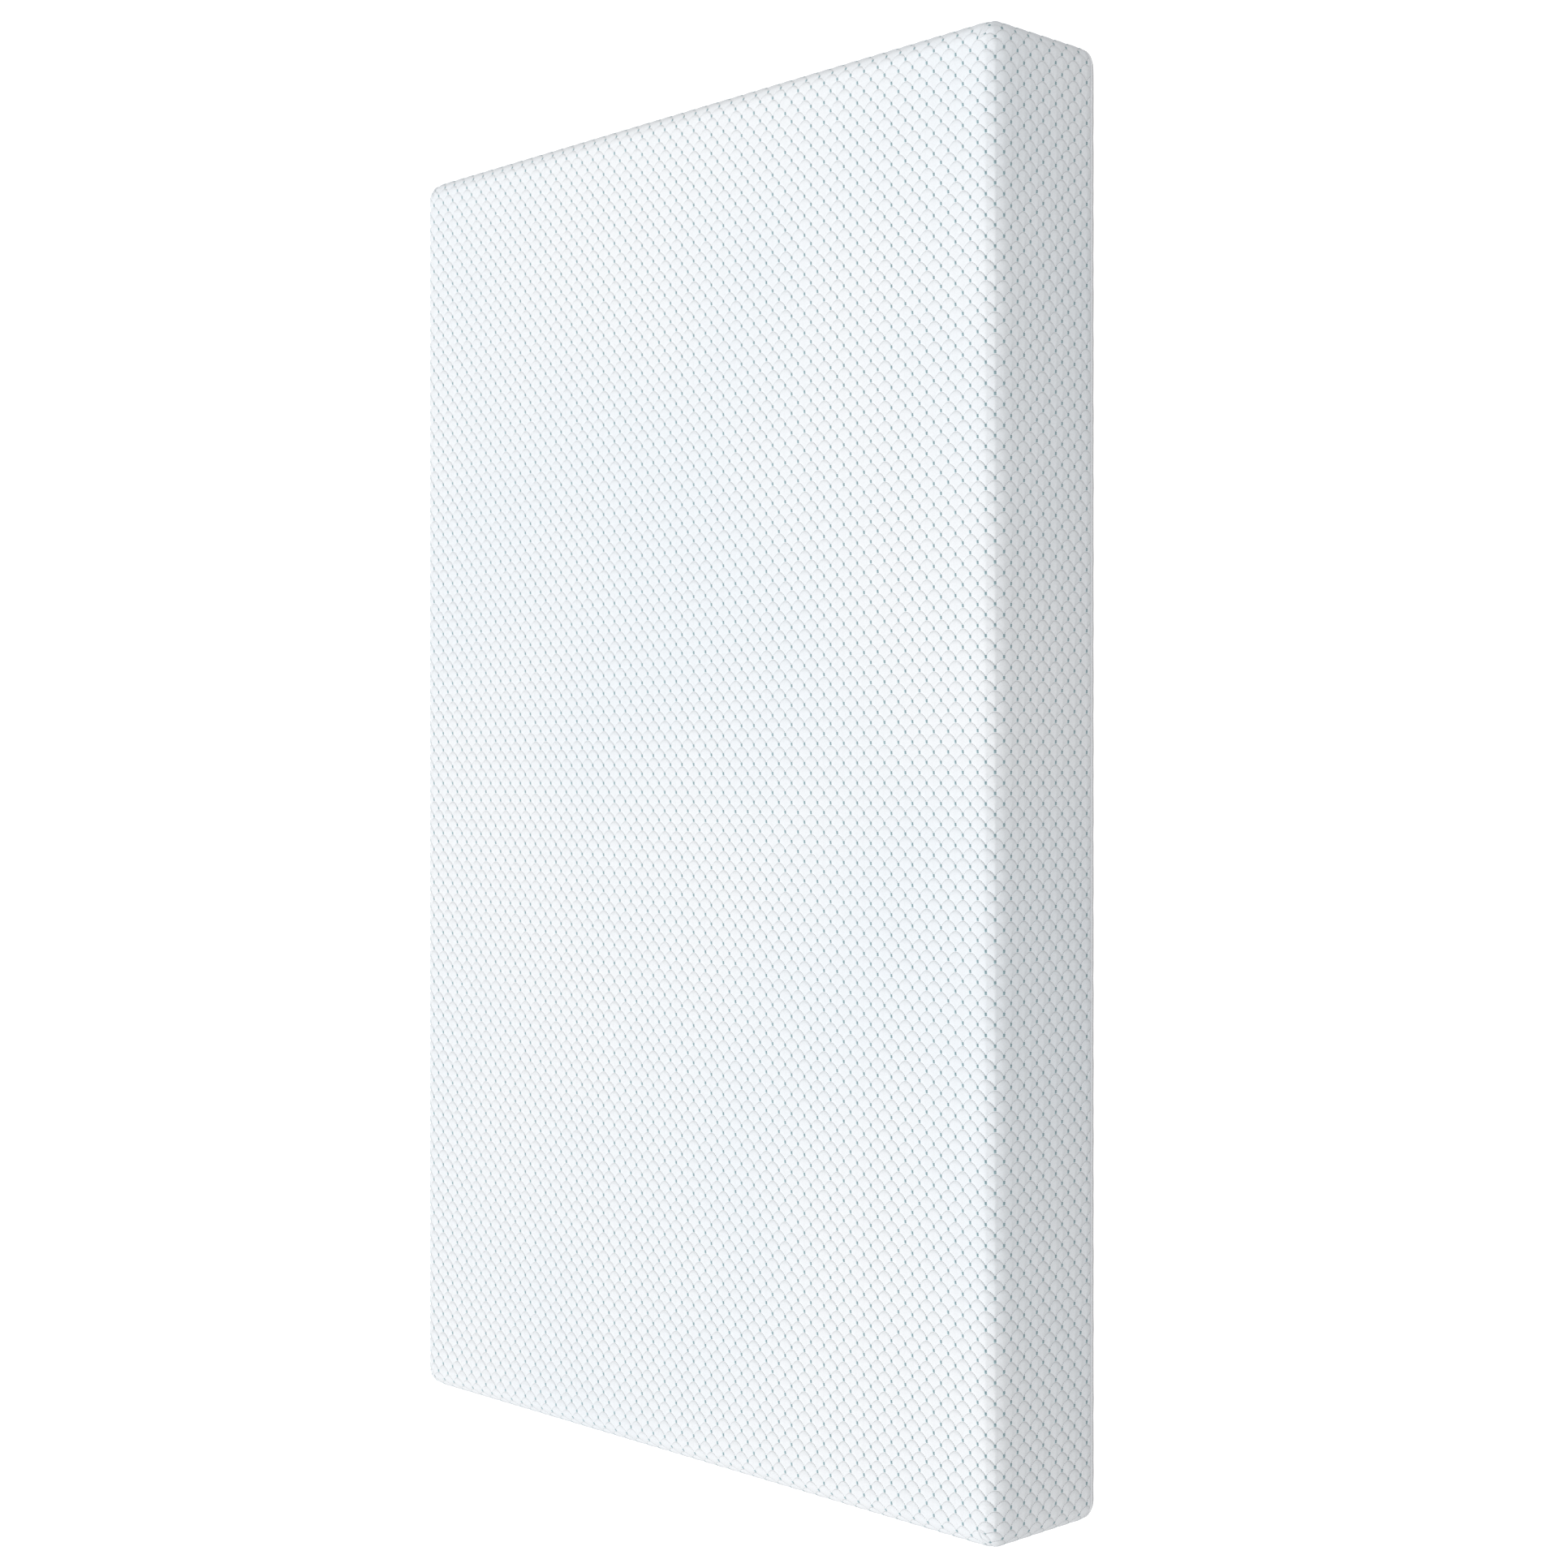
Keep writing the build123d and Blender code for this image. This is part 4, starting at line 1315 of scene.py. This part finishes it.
class MATTRESS_OT_base(bpy.types.Operator):
    """Woven base panel with its turned-up border"""
    bl_idname = "mattress.base"
    bl_label = "Base panel"

    def execute(self, context):
        settings = context.scene.mattress_base
        base, way, along = outline(settings.spacing)
        for side in (-1, 1):
            on_side = way[:, 0] * side > 0.999
            base[on_side, 1] = self.with_slot_ends(base[on_side, 1])
        tuck = smooth((SLOT_END - abs(base[:, 1])) / (0.9 * settings.spacing)) * (way[:, 0] < -0.999)
        slot_low = SEAM_DROP + SLOT_HALF
        top = BASE_DROP + (slot_low - BASE_DROP) * tuck
        share = np.linspace(0, 1, settings.rings)[:, None]
        drop = top + (UNDER_DROP - top) * share
        points, normals = on_wall(base[None], np.broadcast_to(way, (settings.rings, *way.shape)), drop)
        rng = np.random.default_rng(11)
        waves = sum(np.sin(2 * pi * along / length + rng.uniform(0, 6)) for length in (0.031, 0.047, 0.083))
        pucker = settings.pucker * waves * np.exp(-(drop - top) / 0.012) * (1 - share)
        tucked = 0.0012 * np.exp(-(drop - top) / 0.0025) * (1 - share)
        points = points + normals * (pucker - tucked)[..., None]
        ids = np.arange(points[..., 0].size).reshape(drop.shape)
        faces, uv = [], []
        flat = base + way * (UNDER_DROP - drop)[..., None]
        for upper, lower in zip(range(settings.rings - 1), range(1, settings.rings)):
            for i in range(len(base)):
                j = (i + 1) % len(base)
                faces.append((ids[upper, i], ids[lower, i], ids[lower, j], ids[upper, j]))
                uv += [flat[upper, i], flat[lower, i], flat[lower, j], flat[upper, j]]
        grid = self.floor_grid(settings.spacing)
        mesh = mesh_from_arrays("base_panel", np.concatenate((points.reshape(-1, 3), grid[0])),
                                faces + [tuple(np.array(face) + points[..., 0].size) for face in grid[1]],
                                np.concatenate((np.array(uv), grid[2])))
        work = bmesh.new()
        work.from_mesh(mesh)
        bmesh.ops.remove_doubles(work, verts=work.verts, dist=1e-5)
        bmesh.ops.recalc_face_normals(work, faces=work.faces)
        if sum(face.normal.z * face.calc_area() for face in work.faces) > 0:
            bmesh.ops.reverse_faces(work, faces=work.faces)
        work.to_mesh(mesh)
        work.free()
        mesh.shade_smooth()
        source = new_object("base_panel_skin", mesh)
        wall = source.modifiers.new("wall", "SOLIDIFY")
        wall.thickness = COVER_THICK - 0.0005
        wall.offset = -1
        panel = finished(source, "base_panel", "mattress", finish("base_fabric"))
        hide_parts("cover_base_panel")
        return {"FINISHED"}

    @staticmethod
    def with_slot_ends(places):
        """Places along the mattress with the nearest ones moved onto the ends of the zip's slot."""
        places = places.copy()
        for end in (-SLOT_END, SLOT_END):
            places[np.argmin(abs(places - end))] = end
        return places

    def floor_grid(self, spacing):
        """The flat underside as a grid that meets the border's points."""
        xs = np.linspace(-CORE_X, CORE_X, round(2 * CORE_X / spacing) + 1)
        ys = self.with_slot_ends(np.linspace(-CORE_Y, CORE_Y, round(2 * CORE_Y / spacing) + 1))
        x, y = np.meshgrid(xs, ys)
        points = np.column_stack((x.ravel(), y.ravel(), np.zeros(x.size)))
        ids = np.arange(x.size).reshape(x.shape)
        faces = np.stack((ids[:-1, :-1], ids[1:, :-1], ids[1:, 1:], ids[:-1, 1:]), axis=-1).reshape(-1, 4)
        return points, [tuple(face) for face in faces], points[faces.ravel(), :2]


class MATTRESS_OT_binding(bpy.types.Operator):
    """Ribbed binding round the lower seam, with its stitches"""
    bl_idname = "mattress.binding"
    bl_label = "Seam binding"

    SPACING = 0.004

    def execute(self, context):
        settings = context.scene.mattress_base
        base, way, _ = outline(self.SPACING)
        in_slot = (way[:, 0] < -0.999) & (abs(base[:, 1]) < SLOT_END - self.SPACING / 2)
        first = int(np.flatnonzero(in_slot)[-1]) + 1
        base, way = np.roll(base, -first, axis=0), np.roll(way, -first, axis=0)
        keep = ~np.roll(in_slot, -first)
        base, way = base[keep], way[keep]
        base[0, 1], base[-1, 1] = -SLOT_END, SLOT_END
        half = (BASE_DROP - RIM_DROP) / 2
        middle = (BASE_DROP + RIM_DROP) / 2
        turn = np.linspace(0, pi, 9)
        drops = np.concatenate((middle - half * np.cos(turn), [BASE_DROP, RIM_DROP]))
        lifts = np.concatenate((settings.proud * np.sin(turn) ** 0.6 - 0.0006, [-COVER_THICK, -COVER_THICK]))
        stations = []
        for drop, lift in zip(drops, lifts):
            points, normals = on_wall(base, way, np.full(len(base), drop))
            stations.append(points + normals * lift)
        across = np.concatenate(([0], np.cumsum(np.hypot(np.diff(drops), np.diff(lifts))), [0.02]))
        mesh = outwards_again(sweep("seam_binding", np.stack(stations, axis=1), across, closed=False))
        binding = new_object("seam_binding", mesh)
        mesh.materials.append(finish("binding_ribbon"))
        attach(binding, "mattress")
        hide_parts("base_seam_binding")
        self.stitches(middle, context.scene.mattress_sewing)
        return {"FINISHED"}

    @staticmethod
    def stitches(drop, thread):
        base, way, _ = outline(thread.step)
        out_of_slot = ~((way[:, 0] < -0.999) & (abs(base[:, 1]) < SLOT_END - 0.001))
        base, way = base[out_of_slot], way[out_of_slot]
        points, normals = on_wall(base, way, np.full(len(base), drop))
        along = np.column_stack((-way[:, 1], way[:, 0], np.zeros(len(way))))
        sew("binding_stitches", [(points + normals * 0.0002, along, normals)], thread.stitch, thread.width)


class MATTRESS_OT_corner_seams(bpy.types.Operator):
    """Ladder stitches in the mitred seam at each upright corner"""
    bl_idname = "mattress.corner_seams"
    bl_label = "Corner seams"

    def execute(self, context):
        thread = context.scene.mattress_sewing
        drop = np.arange(ARC * 0.45, RIM_DROP - 0.002, thread.step * 2 / 3)
        rows = []
        for side in (-1, 1):
            for end in (-1, 1):
                flat_way = np.array((side * cos(MITRE), end * sin(MITRE)))
                base = np.broadcast_to((side * CORE_X, end * CORE_Y), (len(drop), 2))
                way = np.broadcast_to(flat_way, (len(drop), 2))
                points, normals = on_wall(base, way, drop)
                level = np.array((-flat_way[1], flat_way[0], 0.0))
                down = np.cross(normals, level)
                rows.append((points - normals * 0.0008, level + down * 0.45 * side * end, normals))
        sew("corner_seam_stitches", rows, thread.stitch * 0.9, thread.width, replaces=("cover_corner_seams",))
        return {"FINISHED"}


class MATTRESS_OT_label(bpy.types.Operator):
    """Blank folded care label that hangs from the lower seam"""
    bl_idname = "mattress.label"
    bl_label = "Care label"

    THICK = 0.00022

    def execute(self, context):
        low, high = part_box("care_label")
        face, back, root = low[1] + 0.0001, low[1] + 0.0006, high[1] + 0.0006
        top, bottom = high[2] - 0.0006, low[2] + 0.0004
        line = [(root, top + 0.0003), (back - 0.0004, top + 0.0002), (face + 0.0001, top - 0.0006)]
        line += [(face, z) for z in np.linspace(top - 0.0018, bottom + 0.0008, 10)]
        line += [(face + 0.0001, bottom + 0.0002), ((face + back) / 2, bottom),
                 (back - 0.0001, bottom + 0.0002)]
        line += [(back, z) for z in np.linspace(bottom + 0.0008, top - 0.0022, 10)]
        line += [(back + 0.0006, top - 0.0010), (root, top - 0.0008)]
        line = np.array(line)
        across = np.linspace(low[0] + 0.0003, high[0] - 0.0003, 21)
        share = np.linspace(-1, 1, 21)
        hang = np.clip((top - line[:, 1]) / (top - bottom), 0, 1)
        sway = 0.0006 * hang[:, None] ** 1.5 * (1 - share[None] ** 2)
        points = np.stack((np.broadcast_to(across, sway.shape), line[:, :1] + sway,
                           np.broadcast_to(line[:, 1:], sway.shape)), axis=-1)
        run = np.concatenate(([0], np.cumsum(np.linalg.norm(np.diff(line, axis=0), axis=1))))
        ids = np.arange(sway.size).reshape(sway.shape)
        faces, uv = [], []
        for i in range(len(line) - 1):
            for k in range(len(across) - 1):
                faces.append((ids[i, k], ids[i + 1, k], ids[i + 1, k + 1], ids[i, k + 1]))
                uv += [(run[i], across[k]), (run[i + 1], across[k]),
                       (run[i + 1], across[k + 1]), (run[i], across[k + 1])]
        source = new_object("label_skin", mesh_from_arrays("label_skin", points.reshape(-1, 3), faces, uv))
        wall = source.modifiers.new("wall", "SOLIDIFY")
        wall.thickness = self.THICK
        wall.offset = 0
        label = finished(source, "care_label_ribbon", "mattress", finish("label_ribbon"))
        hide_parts("care_label")
        return {"FINISHED"}


class MATTRESS_OT_zip(bpy.types.Operator):
    """Coil zip in the lower seam: tapes, coil, stops, end patches and their stitches"""
    bl_idname = "mattress.zip"
    bl_label = "Zip"

    def execute(self, context):
        settings = context.scene.mattress_zip
        for side, name in ((1, "upper"), (-1, "lower")):
            self.tape(side, name, settings)
            self.coil(side, name, settings)
        self.stops()
        self.patches()
        self.stitches(context.scene.mattress_sewing)
        for node in ("zip_slider", "zip_pull_tab"):
            bpy.data.objects[node].data.materials.clear()
            bpy.data.objects[node].data.materials.append(finish("zip_metal"))
        return {"FINISHED"}

    @staticmethod
    def tape(side, name, settings):
        end = TAPE_HIGH[1]
        ys = np.linspace(-end, end, 439)
        ups = np.linspace(TAPE_INNER, TAPE_OUTER, 9) * side
        base = np.column_stack((np.full(len(ys), -CORE_X), np.clip(ys, -CORE_Y, CORE_Y)))
        way = np.tile((-1.0, 0.0), (len(ys), 1))
        rings = []
        for inset, order in ((TAPE_FACE, ups), (TAPE_BACK, ups[::-1])):
            for up in order:
                ripple = settings.ripple * np.sin(ys * 2 * pi / 0.023 + up * 900) * min(1.0, abs(up) / 0.004)
                drop = SEAM_DROP - up
                points, normals = on_wall(base, way, np.full(len(ys), drop), inset)
                points[:, 1] = ys
                rings.append(points + normals * ripple[:, None])
        across = np.concatenate((ups, ups[::-1], ups[:1]))
        mesh = outwards_again(sweep(f"zip_tape_{name}_weave", np.stack(rings, axis=1), across, closed=False))
        piece = new_object(f"zip_tape_{name}_weave", mesh)
        mesh.materials.append(finish("zip_tape"))
        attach(piece, "mattress")
        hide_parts(f"zip_tape_{name}")

    @staticmethod
    def coil(side, name, settings):
        end = COIL_HIGH[1]
        length = 2 * end - settings.pitch
        source = new_object("coil_row", bpy.data.meshes.new("coil_row"))
        tree = bpy.data.node_groups.get("Zip Coil") or coil_tree()
        run_tree(source, tree, length=length, pitch=settings.pitch, coil_width=COIL_OUTER - COIL_INNER,
                 coil_depth=COIL_DEPTH, filament=settings.filament, material=finish("zip_coil"))
        piece = finished(source, f"zip_coil_{name}_turns", "mattress")
        shift = settings.pitch / 4 * side
        middle = side * (COIL_INNER + COIL_OUTER) / 2
        piece.data.transform(zip_matrix(middle, COIL_BACK, -length / 2 + shift))
        work = bmesh.new()
        work.from_mesh(piece.data)
        bmesh.ops.recalc_face_normals(work, faces=work.faces)
        work.to_mesh(piece.data)
        work.free()
        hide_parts(f"zip_coil_{name}")

    @staticmethod
    def stops():
        top_spans = [(STOP_GAP, STOP_REACH), (-STOP_REACH, -STOP_GAP)]
        blocks = [("zip_top_stop_clips", "zip_top_stops", top_spans, (STOP_NEAR, STOP_FAR)),
                  ("zip_bottom_stop_clip", "zip_bottom_stop", [(-STOP_REACH, STOP_REACH)],
                   (-STOP_FAR, -STOP_NEAR))]
        for name, node, spans, ys in blocks:
            work = bmesh.new()
            for low, high in spans:
                part = padded_block(name, (low, STOP_BACK, ys[0]), (high, STOP_FACE, ys[1]),
                                    0.00055, 0.00008, 7)
                work.from_mesh(part)
            mesh = bpy.data.meshes.new(name)
            work.to_mesh(mesh)
            work.free()
            mesh.shade_smooth()
            mesh.materials.append(finish("zip_metal"))
            piece = new_object(name, mesh)
            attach(piece, "mattress")
            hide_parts(node)

    @staticmethod
    def patches():
        for name, node in (("zip_garage_patch", "zip_garage"), ("zip_end_patch", "zip_end_tab")):
            low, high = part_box(node)
            mesh = padded_block(name, (-PATCH_HALF, PATCH_BACK, low[1]), (PATCH_HALF, PATCH_FACE, high[1]),
                                0.0005, 0.00025, 11)
            mesh.materials.append(finish("patch_ribbon"))
            piece = new_object(name, mesh)
            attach(piece, "mattress")
            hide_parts(node)

    @staticmethod
    def stitches(thread):
        ys = np.arange(-SLOT_END + 0.002, SLOT_END - 0.002, thread.step * 0.95)
        base = np.column_stack((np.full(len(ys), -CORE_X), ys))
        way = np.tile((-1.0, 0.0), (len(ys), 1))
        rows = []
        for drop, lift in ((SLOT_DROP - ZIP_SEAM, -0.0006), (SEAM_DROP + SLOT_HALF + ZIP_SEAM, -0.0001)):
            points, normals = on_wall(base, way, np.full(len(ys), drop))
            rows.append((points + normals * lift, ZIP_ALONG, normals))
        for node in ("zip_garage", "zip_end_tab"):
            low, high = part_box(node)
            ys = np.arange(low[1] + 0.0016, high[1] - 0.0012, thread.step * 2 / 3)
            for up in (-PATCH_SEAM, PATCH_SEAM):
                rows.append((zip_point(up, -0.0007, ys), ZIP_ALONG, ZIP_OUT))
        sew("zip_stitches", rows, thread.stitch * 0.9, thread.width)


class MATTRESS_OT_core(bpy.types.Operator):
    """Finishes of the inner sock and the foam layers"""
    bl_idname = "mattress.core"
    bl_label = "Sock and foam"

    LAYERS = {"barrier_sock": "barrier_knit", "foam_base_layer": "support_foam",
              "foam_transition_layer": "transition_foam", "foam_memory_layer": "memory_foam"}

    def execute(self, context):
        for node, name in self.LAYERS.items():
            bpy.data.objects[node].data.materials.clear()
            bpy.data.objects[node].data.materials.append(finish(name))
        return {"FINISHED"}


class MATTRESS_PT_panel(bpy.types.Panel):
    """Buttons for each piece"""
    bl_idname = "MATTRESS_PT_panel"
    bl_label = "Mattress"
    bl_space_type = "VIEW_3D"
    bl_region_type = "UI"
    bl_category = "Mattress"

    def draw(self, context):
        for operator in OPERATORS:
            self.layout.operator(operator.bl_idname)
        for group in SETTINGS:
            settings = getattr(context.scene, group)
            box = self.layout.box()
            for name in settings.__annotations__:
                box.prop(settings, name)


OPERATORS = (MATTRESS_OT_stage, MATTRESS_OT_cover, MATTRESS_OT_base, MATTRESS_OT_binding,
             MATTRESS_OT_corner_seams, MATTRESS_OT_label, MATTRESS_OT_zip, MATTRESS_OT_core)
SETTINGS = {"mattress_cover": CoverSettings, "mattress_base": BaseSettings, "mattress_sewing": SewingSettings,
            "mattress_zip": ZipSettings, "mattress_stage": StageSettings}
CLASSES = (*SETTINGS.values(), *OPERATORS, MATTRESS_PT_panel)


def register():
    for made in CLASSES:
        bpy.utils.register_class(made)
    for name, kind in SETTINGS.items():
        setattr(bpy.types.Scene, name, PointerProperty(type=kind))


def unregister():
    for name in SETTINGS:
        delattr(bpy.types.Scene, name)
    for made in reversed(CLASSES):
        bpy.utils.unregister_class(made)


def main():
    register()
    bpy.ops.mattress.stage()
    bpy.ops.mattress.cover()
    bpy.ops.mattress.base()
    bpy.ops.mattress.binding()
    bpy.ops.mattress.corner_seams()
    bpy.ops.mattress.label()
    bpy.ops.mattress.zip()
    bpy.ops.mattress.core()
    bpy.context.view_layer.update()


if __name__ == "__main__":
    main()
